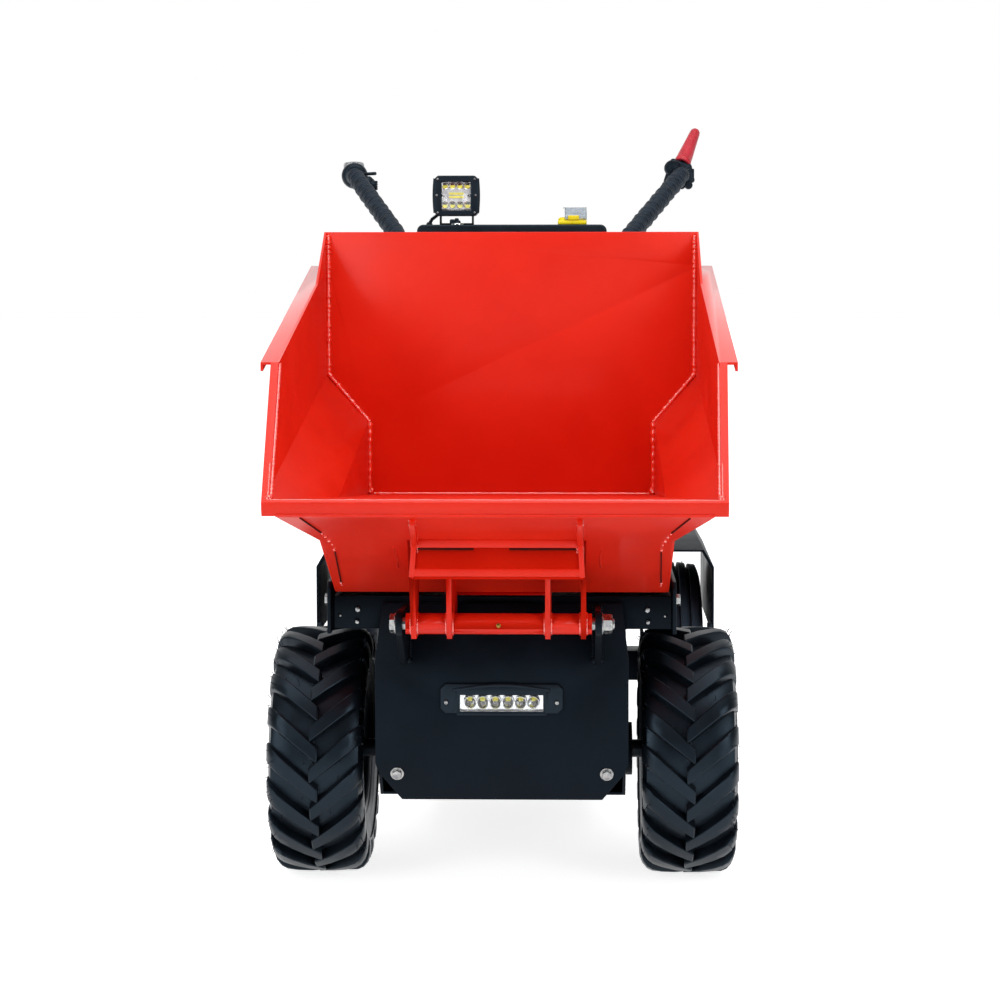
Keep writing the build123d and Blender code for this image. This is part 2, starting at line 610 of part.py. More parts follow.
def deck_frame():
    """Shallow tray under the skip, open in the middle for the lift, with the guide plates on its sides."""
    deck = block((-DECK_HALF, DECK_HALF), (DECK_FRONT_Y, DECK_BACK_Y), (DECK_LOW_Z, DECK_TOP_Z))
    deck -= block((-DECK_HALF + FRAME_T, DECK_HALF - FRAME_T), (DECK_FRONT_Y + FRAME_T, DECK_BACK_Y - FRAME_T),
                  (DECK_LOW_Z, DECK_TOP_Z - FRAME_T))
    deck -= block((-DECK_HOLE_HALF, DECK_HOLE_HALF), (DECK_HOLE_FRONT_Y, DECK_HOLE_BACK_Y), (DECK_LOW_Z, DECK_TOP_Z))
    ledge = block((BOX_HALF - FRAME_T, DECK_HALF - FRAME_T), (DECK_FRONT_Y, DECK_BACK_Y),
                  (DECK_LOW_Z, DECK_LOW_Z + FRAME_T))
    lid = block((-BOX_HALF, BOX_HALF), (DECK_BACK_Y, BOX_BACK_Y), (DECK_LOW_Z, DECK_LOW_Z + FRAME_T))
    outline = [(GUIDE_FRONT_Y, DECK_LOW_Z), (GUIDE_FRONT_Y, GUIDE_TOP_Z - GUIDE_CORNER),
               (GUIDE_FRONT_Y + GUIDE_CORNER, GUIDE_TOP_Z), (GUIDE_BACK_Y - GUIDE_RAMP, GUIDE_TOP_Z),
               (GUIDE_BACK_Y, DECK_TOP_Z), (GUIDE_BACK_Y, DECK_LOW_Z)]
    guide = prism_x(outline, DECK_HALF, DECK_HALF + GUIDE_T)
    return deck + lid + both_sides(ledge + guide)


def spine():
    """Box beam from the lower box back over the rear axle, bored for the kingpin and the column."""
    beam = block((-SPINE_HALF, SPINE_HALF), (BOX_BACK_Y, SPINE_BACK_Y), (SPINE_LOW_Z, DECK_LOW_Z))
    beam -= block((-SPINE_HALF + FRAME_T, SPINE_HALF - FRAME_T), (BOX_BACK_Y, SPINE_BACK_Y - FRAME_T),
                  (SPINE_LOW_Z + FRAME_T, DECK_LOW_Z - FRAME_T))
    beam -= rod((0, REAR_AXLE_Y, SPINE_LOW_Z), (0, REAR_AXLE_Y, DECK_LOW_Z), KINGPIN_R + PIN_PLAY, EYE_FLATS)
    return beam - rod((0, COLUMN_Y, DECK_LOW_Z - FRAME_T), (0, COLUMN_Y, DECK_LOW_Z), COLUMN_R + PIN_PLAY, EYE_FLATS)


def rest_pads():
    """Rubber strips on the deck that the skip's bottom comes down on."""
    return both_sides(block((PAD_X, PAD_X + PAD_W), (DECK_FRONT_Y + PAD_IN, DECK_BACK_Y - PAD_IN),
                            (DECK_TOP_Z, UNDERPAN_Z - SEAT)))


def battery_block():
    inside = BOX_HALF - FRAME_T - BATTERY_PLAY
    return block((-inside, inside), (FOOT_Y + FOOT_REACH + BATTERY_PLAY, BOX_BACK_Y - FRAME_T - BATTERY_PLAY),
                 (APRON_BOTTOM_Z + FRAME_T, DECK_LOW_Z - 3 * BATTERY_PLAY))


def front_axle_housing():
    """Drive axle tube with its end flanges, the gear case and motor in the middle, and bores for the shafts."""
    tube = cross_rod(AXLE_HOUSING_HALF, FRONT_AXLE_Y, FRONT_TYRE_R, AXLE_HOUSING_R, ROUND_FLATS)
    case_z = FRONT_TYRE_R + GEAR_CASE_UP
    low = APRON_BOTTOM_Z + 2 * FRAME_T
    case = cross_rod(GEAR_CASE_HALF, FRONT_AXLE_Y, case_z, GEAR_CASE_R, EYE_FLATS)
    case &= block((-BOX_HALF, BOX_HALF), (APRON_Y, BOX_BACK_Y), (low, DECK_LOW_Z))
    motor_front = FRONT_AXLE_Y - GEAR_CASE_R
    motor = rod((0, FRONT_AXLE_Y, case_z), (0, motor_front - MOTOR_L, case_z), MOTOR_R, ROUND_FLATS)
    motor &= block((-MOTOR_R, MOTOR_R), (APRON_Y + LIGHT_BODY_D, FRONT_AXLE_Y), (low, LIGHT_BODY_Z[0] - FRAME_T))
    flange = rod((AXLE_HOUSING_HALF - AXLE_FLANGE_T, FRONT_AXLE_Y, FRONT_TYRE_R),
                 (AXLE_HOUSING_HALF, FRONT_AXLE_Y, FRONT_TYRE_R), AXLE_FLANGE_R, ROUND_FLATS)
    bore = rod((AXLE_HOUSING_HALF - SHAFT_BORE_L, FRONT_AXLE_Y, FRONT_TYRE_R),
               (AXLE_HOUSING_HALF, FRONT_AXLE_Y, FRONT_TYRE_R), SHAFT_R + RUNNING, EYE_FLATS)
    return tube + case + motor + both_sides(flange) - both_sides(bore)


# --- wheels --------------------------------------------------------------------------------------
def mirrored(half):
    """Whole section from its right half, (across, radius)."""
    return half + [(-x, r) for x, r in reversed(half)]


def bead(half, barrel):
    """Foot of a tyre's right side, lying a little clear of the rim's slanting flange."""
    out = half + RIM_FLANGE_T
    return [(out - SEAT / 2, barrel + RIM_FLANGE_H + SEAT), (out - RIM_FLANGE_H - 2 * SEAT, barrel + SEAT)]


def front_tyre_carcass():
    root = FRONT_TYRE_R - LUG_H
    w = FRONT_TYRE_W / 2
    return flat_ring(mirrored([(w * 0.8, root), (w, root - 44)] + bead(FRONT_RIM_HALF, FRONT_RIM_R)))


def lug(side):
    """One traction lug at the top of the tyre, leaning back from the centre line out to the shoulder."""
    w = FRONT_TYRE_W / 2
    root = FRONT_TYRE_R - LUG_H
    half = LUG_W / 2
    crown = sqrt(FRONT_TYRE_R ** 2 - (LUG_SWEEP / 2 + half) ** 2)
    lean = [(-LUG_OVERLAP, -0.5 * LUG_SWEEP), (w, 0.5 * LUG_SWEEP)]
    plan = [(x, y - half) for x, y in lean] + [(x, y + half) for x, y in reversed(lean)]
    outline = Polygon(*[(side * x, y) for x, y in plan], align=None)
    bar = extrude(Plane.XY * outline, amount=FRONT_TYRE_R, dir=(0, 0, 1))
    profile = [(-LUG_OVERLAP, root - LUG_ROOT), (w * 0.8, root - 16), (w, root - 46), (w, crown - 22),
               (w * 0.82, crown), (-LUG_OVERLAP, crown)]
    return bar & prism_y([(side * x, z) for x, z in profile], -FRONT_TYRE_W, FRONT_TYRE_W)


def front_tyre(side):
    """Traction tyre: carcass with two rows of staggered lugs."""
    pitch = 360 / LUG_COUNT
    lead = degrees(asin((LUG_SWEEP + LUG_W) / 2 / FRONT_TYRE_R))     # stands one lug's corner on the ground
    lugs = [Rot(X=(n + lag) * pitch - lead) * lug(row)
            for row, lag in ((1, 0.0), (-1, 0.5)) for n in range(LUG_COUNT)]
    tyre = front_tyre_carcass().fuse(*lugs)
    return Pos(side * FRONT_WHEEL_X, FRONT_AXLE_Y, FRONT_TYRE_R) * tyre


def rim_section(half, barrel, hub_in):
    """Rim, wheel disc and hub in one section, (across, radius), the wheel's outside at +X."""
    lip = barrel + RIM_FLANGE_H
    inner = barrel - RIM_WALL
    out = half + RIM_FLANGE_T
    seat = out - RIM_FLANGE_H
    return [(-out, lip), (-seat, barrel), (seat, barrel), (out, lip), (seat, inner), (CAP_OUT / 2, inner),
            (CAP_OUT / 2, HUB_R), (CAP_OUT, HUB_R), (CAP_OUT, 0), (-hub_in, 0), (-hub_in, HUB_R),
            (CAP_OUT / 2 - DISC_T, HUB_R), (CAP_OUT / 2 - DISC_T, inner), (-seat, inner)]


def front_rim(side):
    """Rim on a hub whose shaft runs into the drive axle."""
    rim = flat_ring(rim_section(FRONT_RIM_HALF, FRONT_RIM_R, FRONT_HUB_IN))
    rim += rod((0, 0, 0), (AXLE_HOUSING_HALF - SHAFT_GRIP - FRONT_WHEEL_X, 0, 0), SHAFT_R)
    if side < 0:
        rim = mirror(rim, about=Plane.YZ)
    return Pos(side * FRONT_WHEEL_X, FRONT_AXLE_Y, FRONT_TYRE_R) * rim


def rear_tyre(side):
    """Ribbed steering tyre: V grooves round a rounded crown."""
    w = REAR_TYRE_W / 2
    crown = []
    for centre in (RIB_PITCH, 0.0, -RIB_PITCH):
        crown += [(centre + RIB_GROOVE_W / 2, REAR_TYRE_R), (centre, REAR_TYRE_R - RIB_GROOVE_D),
                  (centre - RIB_GROOVE_W / 2, REAR_TYRE_R)]
    wall = [(w * 0.8, REAR_TYRE_R - 8), (w, REAR_TYRE_R - 40)] + bead(REAR_RIM_HALF, REAR_RIM_R)
    section = crown + [(-x, r) for x, r in wall] + list(reversed(wall))
    return Pos(side * REAR_WHEEL_X, REAR_AXLE_Y, REAR_TYRE_R) * flat_ring(section)


def rear_rim(side):
    """Rim and hub of a rear wheel, bored for its spindle."""
    rim = flat_ring(rim_section(REAR_RIM_HALF, REAR_RIM_R, REAR_HUB_IN))
    rim -= rod((-REAR_HUB_IN, 0, 0), (SPINDLE_OUT + 2, 0, 0), SPINDLE_R + RUNNING, EYE_FLATS)
    if side < 0:
        rim = mirror(rim, about=Plane.YZ)
    return Pos(side * REAR_WHEEL_X, REAR_AXLE_Y, REAR_TYRE_R) * rim


# --- rear axle -----------------------------------------------------------------------------------
def rear_axle_beam():
    """Square beam with a spindle at each end, and the turning plate and kingpin on its post."""
    half = BEAM_S / 2
    beam = block((-BEAM_HALF, BEAM_HALF), (REAR_AXLE_Y - half, REAR_AXLE_Y + half),
                 (REAR_TYRE_R - half, REAR_TYRE_R + half))
    spindle = cross_rod(REAR_WHEEL_X + SPINDLE_OUT, REAR_AXLE_Y, REAR_TYRE_R, SPINDLE_R)
    table_z = SPINE_LOW_Z - SEAT
    post = block((-POST_HALF, POST_HALF), (REAR_AXLE_Y - half, REAR_AXLE_Y + half), (REAR_TYRE_R, table_z))
    table = block((-TURNTABLE_HALF, TURNTABLE_HALF), (REAR_AXLE_Y - TURNTABLE_HALF, REAR_AXLE_Y + TURNTABLE_HALF),
                  (table_z - TURNTABLE_T, table_z))
    cap_z = DECK_LOW_Z + SEAT
    pin = rod((0, REAR_AXLE_Y, table_z), (0, REAR_AXLE_Y, cap_z), KINGPIN_R)
    cap = rod((0, REAR_AXLE_Y, cap_z), (0, REAR_AXLE_Y, cap_z + KINGPIN_CAP_T), KINGPIN_CAP_R, EYE_FLATS)
    return beam + spindle + post + table + pin + cap


def fender_form(inner, top, outer, low, over):
    """Filled form of a mudguard: its bevelled section and its top's gentle arch, run over its ends by this much."""
    section = [(inner, low), (inner, top), (outer - FENDER_BEVEL_X, top), (outer, top - FENDER_BEVEL_Z), (outer, low)]
    reach = FENDER_HALF_L + over
    end_z = top - FENDER_DROP * (reach - FENDER_LEVEL_HALF) / (FENDER_HALF_L - FENDER_LEVEL_HALF)
    arch = [(-reach, low), (-reach, end_z), (-FENDER_LEVEL_HALF, top), (FENDER_LEVEL_HALF, top), (reach, end_z),
            (reach, low)]
    return (prism_y(section, REAR_AXLE_Y - reach, REAR_AXLE_Y + reach)
            & prism_x([(REAR_AXLE_Y + y, z) for y, z in arch], inner, outer))


def rear_fenders():
    """Bent-plate mudguards on straps from the beam, turning with the wheels."""
    t = FENDER_T
    under = FENDER_TOP_Z - t
    cover = (fender_form(FENDER_IN, FENDER_TOP_Z, FENDER_OUT, FENDER_SKIRT_Z, 0)
             - fender_form(FENDER_IN - t, under, FENDER_OUT - t, FENDER_SKIRT_Z - t, t))
    width = (REAR_AXLE_Y - STRAP_HALF, REAR_AXLE_Y + STRAP_HALF)
    strap = block((BEAM_HALF, BEAM_HALF + STRAP_T), width, (REAR_TYRE_R + STRAP_FOOT_Z, under))
    tab = block((BEAM_HALF, FENDER_IN + STRAP_TAB), width, (under - STRAP_T, under))
    return both_sides(cover + strap + tab)


def rear_platform():
    """Step for the driver, on two cranked arms from the end of the spine."""
    low = PLATFORM_Z - PLATFORM_EDGE
    under = PLATFORM_Z - PLATFORM_T
    back = TAIL_Y - 2 * PLATFORM_WALL
    arm = prism_x([(SPINE_BACK_Y - 60, SPINE_LOW_Z), (SPINE_BACK_Y - 60, DECK_LOW_Z), (SPINE_BACK_Y + 8, DECK_LOW_Z),
                   (PLATFORM_Y + 30, under), (back, under), (back, low + 14),
                   (PLATFORM_Y + 20, low), (PLATFORM_Y - 10, low), (SPINE_BACK_Y - 20, SPINE_LOW_Z)],
                  SPINE_HALF, SPINE_HALF + PLATFORM_T)
    tread = block((-PLATFORM_HALF, PLATFORM_HALF), (PLATFORM_Y, TAIL_Y), (under, PLATFORM_Z))
    skirt = block((-PLATFORM_HALF, PLATFORM_HALF), (TAIL_Y - PLATFORM_WALL, TAIL_Y), (low, under))
    side = block((PLATFORM_HALF - PLATFORM_WALL, PLATFORM_HALF), (PLATFORM_Y, TAIL_Y), (low, under))
    return both_sides(arm + side) + tread + skirt


# --- lift ----------------------------------------------------------------------------------------
def along_lift(distance):
    """Point on the line from the foot pin to the rod's eye."""
    run = hypot(EYE_Y - FOOT_Y, EYE_Z - FOOT_Z)
    return (0, FOOT_Y + (EYE_Y - FOOT_Y) * distance / run, FOOT_Z + (EYE_Z - FOOT_Z) * distance / run)


def lift_body():
    """Electric linear actuator: foot eye, neck and main tube."""
    eye = cross_rod(LIFT_EYE_W / 2, FOOT_Y, FOOT_Z, LIFT_FOOT_R, EYE_FLATS)
    neck = rod(along_lift(LIFT_PIN_R), along_lift(LIFT_BODY_START), LIFT_NECK_R, EYE_FLATS)
    tube = rod(along_lift(LIFT_BODY_START), along_lift(LIFT_BODY_L), LIFT_BODY_R, ROUND_FLATS)
    bore = cross_rod(LIFT_EYE_W / 2, FOOT_Y, FOOT_Z, LIFT_PIN_R + RUNNING, EYE_FLATS)
    slot = rod(along_lift(LIFT_ROD_START - LIFT_PIN_R), along_lift(LIFT_BODY_L), LIFT_ROD_R + RUNNING, EYE_FLATS)
    return eye + neck + tube - bore - slot


def lift_rod():
    """Rod with its eye, which holds the upper pin."""
    length = hypot(EYE_Y - FOOT_Y, EYE_Z - FOOT_Z)
    bar = rod(along_lift(LIFT_ROD_START), along_lift(length), LIFT_ROD_R)
    eye = cross_rod(LIFT_EYE_W / 2, EYE_Y, EYE_Z, LIFT_EYE_R, EYE_FLATS)
    pin = cross_rod(LIFT_EYE_W / 2 + FORK_PLAY - SEAT, EYE_Y, EYE_Z, LIFT_PIN_R, EYE_FLATS)
    return bar + eye + pin


# --- steering and console ------------------------------------------------------------------------
def steering_mast():
    """Fixed upright that carries the console, and the head tube that the steering column turns in."""
    foot_z = DECK_LOW_Z + FRAME_T
    upright = block((-MAST_HALF, MAST_HALF), (MAST_Y - MAST_T / 2, MAST_Y + MAST_T / 2), (foot_z, CONSOLE_Z[0]))
    low, high = HEAD_TUBE_Z
    head = rod((0, COLUMN_Y, low), (0, COLUMN_Y, high), HEAD_TUBE_R, ROUND_FLATS)
    web = block((-MAST_WEB_T / 2, MAST_WEB_T / 2), (MAST_Y, COLUMN_Y), (low, high))
    foot = block((-MAST_FOOT_HALF, MAST_FOOT_HALF), (MAST_Y - MAST_FOOT_HALF / 2, BOX_BACK_Y),
                 (foot_z, foot_z + MAST_FOOT_T))
    return upright + head + web + foot - rod((0, COLUMN_Y, low), (0, COLUMN_Y, high), COLUMN_R + RUNNING, EYE_FLATS)


def handlebar_tube():
    """Two bent arms on a square cross bar, carried by the steering column."""
    route = FilletPolyline((BAR_HALF, COLUMN_Y, CROSS_BAR_Z), (BAR_HALF, COLUMN_Y, BAR_ELBOW_Z), BAR_BEND, GRIP_END,
                           radius=BAR_BEND_R)
    arm = sweep(Plane(origin=route @ 0, z_dir=route % 0) * RegularPolygon(BAR_R, BAR_FLATS), path=route)
    half = CROSS_BAR_S / 2
    bar = block((-BAR_HALF - half, BAR_HALF + half), (COLUMN_Y - half, COLUMN_Y + half),
                (CROSS_BAR_Z - half, CROSS_BAR_Z + half))
    column = rod((0, COLUMN_Y, DECK_LOW_Z - FRAME_T), (0, COLUMN_Y, CROSS_BAR_Z), COLUMN_R)
    collar = rod((0, COLUMN_Y, HEAD_TUBE_Z[1] + SEAT), (0, COLUMN_Y, CROSS_BAR_Z), HEAD_TUBE_R, ROUND_FLATS)
    return both_sides(arm) + bar + column + collar


def sleeve(start, end, radius):
    """Soft sleeve on the bar, a little clear of it."""
    return rod(start, end, radius, SLEEVE_FLATS) - rod(start, end, BAR_R + SLEEVE_PLAY, SLEEVE_FLATS)


def bar_wraps():
    """Wrapped sleeves on the two rising arms."""
    elbow = (BAR_HALF, COLUMN_Y, BAR_ELBOW_Z)
    return both_sides(sleeve(between(elbow, BAR_BEND, 0.12), between(elbow, BAR_BEND, 0.9), WRAP_R))


def bar_grips():
    """Rubber grips over the bar's two ends."""
    start = between(BAR_BEND, GRIP_END, 0.24)
    return both_sides(rod(start, between(BAR_BEND, GRIP_END, 1.05), GRIP_R, SLEEVE_FLATS)
                      - rod(start, GRIP_END, BAR_R + SLEEVE_PLAY, SLEEVE_FLATS))


def hand_dial():
    """Left hand: round flange in front of the grip, with the flat display above it."""
    x, y, z = BAR_BEND
    near = between(BAR_BEND, GRIP_END, 0.1)
    far = between(BAR_BEND, GRIP_END, 0.2)
    disc = rod((-near[0], near[1], near[2]), (-far[0], far[1], far[2]), DIAL_R, ROUND_FLATS)
    disc -= rod((-x, y, z), (-GRIP_END[0], GRIP_END[1], GRIP_END[2]), BAR_R + SLEEVE_PLAY, SLEEVE_FLATS)
    low = z + GRIP_R + 2
    face = rod((-x, near[1] + DIAL_FACE_R, low), (-x, near[1] + DIAL_FACE_R, low + DIAL_FACE_T), DIAL_FACE_R,
               ROUND_FLATS)
    return disc + face


def lever_housing():
    """Right hand: switch housing clamped round the bar's bend."""
    x, y, z = BAR_BEND
    near, far = between(BAR_BEND, GRIP_END, 0.1), between(BAR_BEND, GRIP_END, 0.23)
    body = block((x + LEVER_BOX_X[0], x + LEVER_BOX_X[1]), (near[1], far[1]), (z + LEVER_BOX_Z[0], z + LEVER_BOX_Z[1]))
    body = chamfer(body.edges().filter_by(Axis.Y), LEVER_BOX_CORNER)
    return body - rod(BAR_BEND, GRIP_END, BAR_R + SLEEVE_PLAY, SLEEVE_FLATS)


def red_lever():
    """Red-sleeved lever that rises behind the right-hand housing."""
    x, y, z = BAR_BEND
    middle = (between(BAR_BEND, GRIP_END, 0.1)[1] + between(BAR_BEND, GRIP_END, 0.23)[1]) / 2
    foot = Vector(x + LEVER_FOOT_X, middle, z + LEVER_BOX_Z[1])
    run = Vector(*LEVER_LEAN)
    taper = degrees(atan2(LEVER_R[0] - LEVER_R[1], run.length))
    sleeve = extrude(Plane(origin=foot, z_dir=run) * RegularPolygon(LEVER_R[0], SLEEVE_FLATS), amount=run.length,
                     taper=taper)
    return chamfer(sleeve.faces().sort_by(Axis((0, 0, 0), run))[-1].edges(), LEVER_TIP)


def console_box():
    box = block((-CONSOLE_HALF, CONSOLE_HALF), CONSOLE_Y, CONSOLE_Z)
    return fillet(box.edges().filter_by(Axis.Y), CONSOLE_CORNER)


def work_light_well():
    """Inner edges of the work lamp's frame, as X and Z ranges."""
    sides, bottom, top = LAMP_FRAME
    half = LAMP_HALF - sides
    return (LAMP_X - half, LAMP_X + half), (LAMP_Z[0] + bottom, LAMP_Z[1] - top)


def work_light_housing():
    """Square work lamp with a recessed front."""
    body = block((LAMP_X - LAMP_HALF, LAMP_X + LAMP_HALF), LAMP_Y, LAMP_Z)
    body = chamfer(body.edges().filter_by(Axis.Y), LAMP_CORNER)
    well_x, well_z = work_light_well()
    return body - block(well_x, (LAMP_Y[0], LAMP_Y[0] + LAMP_WELL), well_z)


def work_light_bracket():
    """Low U bracket between the lamp and the console's top."""
    top = CONSOLE_Z[1]
    near, far = LAMP_Y[0] + BRACKET_Y[0], LAMP_Y[0] + BRACKET_Y[1]
    base = block((LAMP_X - BRACKET_HALF, LAMP_X + BRACKET_HALF), (near, far), (top, top + BRACKET_T))
    legs = [block((x, x + BRACKET_LEG), (near, far), (top, LAMP_Z[0]))
            for x in (LAMP_X - BRACKET_HALF, LAMP_X + BRACKET_HALF - BRACKET_LEG)]
    return base + legs[0] + legs[1]


def work_light_lead():
    """Short lead from the lamp's back corner down into the console."""
    y = LAMP_Y[0] + BRACKET_Y[1] + 2 * LEAD_R
    out_x = LAMP_X - BRACKET_HALF
    route = FilletPolyline((out_x, y, LAMP_Z[0]), (LAMP_X - LEAD_DROP_X, y, LAMP_Z[0] - LEAD_R),
                           (LAMP_X - LEAD_DROP_X, y, CONSOLE_Z[1]), radius=LEAD_BEND_R)
    return sweep(Plane(origin=route @ 0, z_dir=route % 0) * RegularPolygon(LEAD_R, LEAD_FLATS), path=route)


def key_switch():
    return rod((KEY_X, KEY_Y, CONSOLE_Z[1]), (KEY_X, KEY_Y, CONSOLE_Z[1] + KEY_H), KEY_R, KEY_FLATS)


def emergency_switch():
    base = block(STOP_X, STOP_Y, (CONSOLE_Z[1], CONSOLE_Z[1] + STOP_H))
    return chamfer(base.edges().filter_by(Axis.Z), STOP_CORNER)


def emergency_cover():
    """Clear flip cover over the switch."""
    z = CONSOLE_Z[1] + STOP_H
    cover = block((STOP_X[0] + COVER_IN, STOP_X[1]), STOP_Y, (z, z + COVER_H))
    return chamfer(cover.edges().filter_by(Axis.Z), STOP_CORNER)


# --- assembly ------------------------------------------------------------------------------------
os.makedirs("parts", exist_ok=True)

rim = skip_rim()
side = skip_side() - rim
other_side = mirror(side, about=Plane.YZ)
back = skip_back() - side - other_side
write("skip_rim", rim)
write("skip_side_right", side)
write("skip_side_left", other_side)
write("skip_back", back)
write("skip_floor", largest(skip_floor() - rim - side - other_side - back))
write("skip_underpan", skip_underpan() - rim - side - other_side - back)
write("skip_hangers", skip_hangers())

write("frame", frame())
write("deck_frame", deck_frame())
write("spine", spine())
write("front_apron", front_apron())
write("pivot_ears", pivot_ears())
write("pivot_pin", pivot_pin())
write("rest_pads", rest_pads())
write("battery_block", battery_block())
write("front_axle_housing", front_axle_housing())
write("front_light_housing", front_light_housing())
write("lamp_lenses", lamp_lenses())
write("steering_mast", steering_mast())
write("console_box", console_box())
write("work_light_housing", work_light_housing())
write("work_light_bracket", work_light_bracket())
write("work_light_lead", work_light_lead() - work_light_housing())
write("key_switch", key_switch())
write("emergency_switch", emergency_switch())
write("emergency_cover", emergency_cover())
write("rear_platform", rear_platform())

write("lift_body", lift_body())
write("lift_rod", lift_rod())

write("rear_axle_beam", rear_axle_beam())
write("rear_fenders", rear_fenders())

for side_name, sign in (("left", -1), ("right", 1)):
    write(f"front_tyre_{side_name}", front_tyre(sign))
    write(f"front_rim_{side_name}", front_rim(sign))
    write(f"rear_tyre_{side_name}", rear_tyre(sign))
    write(f"rear_rim_{side_name}", rear_rim(sign))

write("handlebar_tube", handlebar_tube())
write("bar_wraps", bar_wraps())
write("bar_grips", bar_grips())
write("hand_dial", hand_dial())
write("lever_housing", lever_housing())
write("red_lever", red_lever() - lever_housing())
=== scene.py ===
import random
from math import cos, pi, radians, sin, sqrt, tan

import bmesh
import bpy
from mathutils import Euler, Matrix, Vector


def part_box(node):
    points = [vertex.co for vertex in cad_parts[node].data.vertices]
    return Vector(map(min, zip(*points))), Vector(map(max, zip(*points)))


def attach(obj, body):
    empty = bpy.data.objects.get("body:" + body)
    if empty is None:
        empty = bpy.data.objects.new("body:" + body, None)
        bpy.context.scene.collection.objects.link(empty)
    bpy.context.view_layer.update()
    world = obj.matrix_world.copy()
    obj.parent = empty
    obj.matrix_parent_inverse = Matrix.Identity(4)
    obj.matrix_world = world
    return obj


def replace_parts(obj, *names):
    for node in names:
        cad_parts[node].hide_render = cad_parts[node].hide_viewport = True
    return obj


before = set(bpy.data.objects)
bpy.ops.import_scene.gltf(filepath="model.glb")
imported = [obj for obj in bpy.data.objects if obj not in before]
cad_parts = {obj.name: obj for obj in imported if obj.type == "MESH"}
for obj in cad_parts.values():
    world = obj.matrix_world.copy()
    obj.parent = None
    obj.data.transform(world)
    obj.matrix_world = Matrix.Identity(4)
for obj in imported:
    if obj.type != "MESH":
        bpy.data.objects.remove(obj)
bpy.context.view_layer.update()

# --- Camera and studio ---------------------------------------------------------------------------
# The machine stands on a plain white floor in front of a white sweep. The room behind the camera is
# dim, so that black parts stay black, and soft boxes hang overhead and stand in front at both sides.
MM = 0.001
CAMERA_AT = (119.99, -4249.66, 1048.59)
CAMERA_YAW = -0.0206            # radians, to the right of straight back
CAMERA_PITCH = -0.0574
CAMERA_ROLL = -0.0008
CAMERA_LENS = 81.36             # millimetres, on a 36 mm sensor
CAMERA_SHIFT = (-0.03, -0.12)
FLOOR_SIZE = 60.0               # metres
SWEEP_LIGHT = 1.0
ROOM_LIGHT = 0.22
PAPER_GLOW = 0.78               # light that the floor gives of itself, so that it shows white


def linear(code):
    """A socket's colour from sRGB hex."""
    parts = [int(code[i:i + 2], 16) / 255 for i in (0, 2, 4)]
    return [p / 12.92 if p <= 0.04045 else ((p + 0.055) / 1.055) ** 2.4 for p in parts] + [1.0]


def add(tree, kind, values=None, links=None, **fields):
    """Adds one node. Fields are its own settings, values go to its inputs and links feed them."""
    node = tree.nodes.new(kind)
    for field, value in fields.items():
        setattr(node, field, value)
    for key, value in (values or {}).items():
        node.inputs[key].default_value = value
    for key, source in (links or {}).items():
        tree.links.new(source, node.inputs[key])
    return node


camera = bpy.data.objects.new("camera", bpy.data.cameras.new("camera"))
camera.data.lens = CAMERA_LENS
camera.data.sensor_width = 36.0
camera.data.shift_x, camera.data.shift_y = CAMERA_SHIFT
camera.data.clip_end = 200.0
aim = Euler((pi / 2 + CAMERA_PITCH, 0.0, -CAMERA_YAW)).to_matrix() @ Matrix.Rotation(CAMERA_ROLL, 3, "Z")
camera.matrix_world = Matrix.Translation(Vector(CAMERA_AT) * MM) @ aim.to_4x4()
bpy.context.scene.collection.objects.link(camera)
bpy.context.scene.camera = camera
bpy.context.scene.view_settings.view_transform = "Standard"

world = bpy.data.worlds.new("studio")
bpy.context.scene.world = world
world.use_nodes = True
sky = world.node_tree
sky.nodes.clear()
place = add(sky, "ShaderNodeTexCoord")
facing = add(sky, "ShaderNodeSeparateXYZ", links={0: place.outputs["Generated"]})
level = add(sky, "ShaderNodeMapRange",
            {"From Min": -0.2, "From Max": 0.7, "To Min": ROOM_LIGHT, "To Max": SWEEP_LIGHT},
            {"Value": facing.outputs["Y"]})
ray = add(sky, "ShaderNodeLightPath")
seen = add(sky, "ShaderNodeMath",
           links={0: ray.outputs["Is Camera Ray"], 1: ray.outputs["Is Transmission Ray"]},
           operation="MAXIMUM")
power = add(sky, "ShaderNodeMath", links={0: seen.outputs[0], 1: level.outputs["Result"]},
            operation="MAXIMUM")
white = add(sky, "ShaderNodeBackground", {"Color": linear("FFFFFF")}, {"Strength": power.outputs[0]})
add(sky, "ShaderNodeOutputWorld", links={"Surface": white.outputs[0]})

# The floor shows white of itself and takes the machine's shadow on top of that.
sheet = bmesh.new()
bmesh.ops.create_grid(sheet, x_segments=1, y_segments=1, size=FLOOR_SIZE / 2)
floor_mesh = bpy.data.meshes.new("floor")
sheet.to_mesh(floor_mesh)
sheet.free()
studio_floor = bpy.data.objects.new("floor", floor_mesh)
bpy.context.scene.collection.objects.link(studio_floor)
paper = bpy.data.materials.new("white_studio_paper")
paper.use_nodes = True
tree = paper.node_tree
tree.nodes.clear()
matt = add(tree, "ShaderNodeBsdfDiffuse", {"Color": linear("F0F0F0")})
glow = add(tree, "ShaderNodeEmission", {"Color": linear("FFFFFF"), "Strength": PAPER_GLOW})
lit = add(tree, "ShaderNodeAddShader", links={0: matt.outputs[0], 1: glow.outputs[0]})
ray = add(tree, "ShaderNodeLightPath")
clear_ray = add(tree, "ShaderNodeMath",
                links={0: ray.outputs["Is Camera Ray"], 1: ray.outputs["Is Transmission Ray"]},
                operation="MAXIMUM")
seen = add(tree, "ShaderNodeMath", links={0: clear_ray.outputs[0], 1: ray.outputs["Is Glossy Ray"]},
           operation="MAXIMUM")
look = add(tree, "ShaderNodeMixShader", links={0: seen.outputs[0], 1: matt.outputs[0], 2: lit.outputs[0]})
add(tree, "ShaderNodeOutputMaterial", links={"Surface": look.outputs[0]})
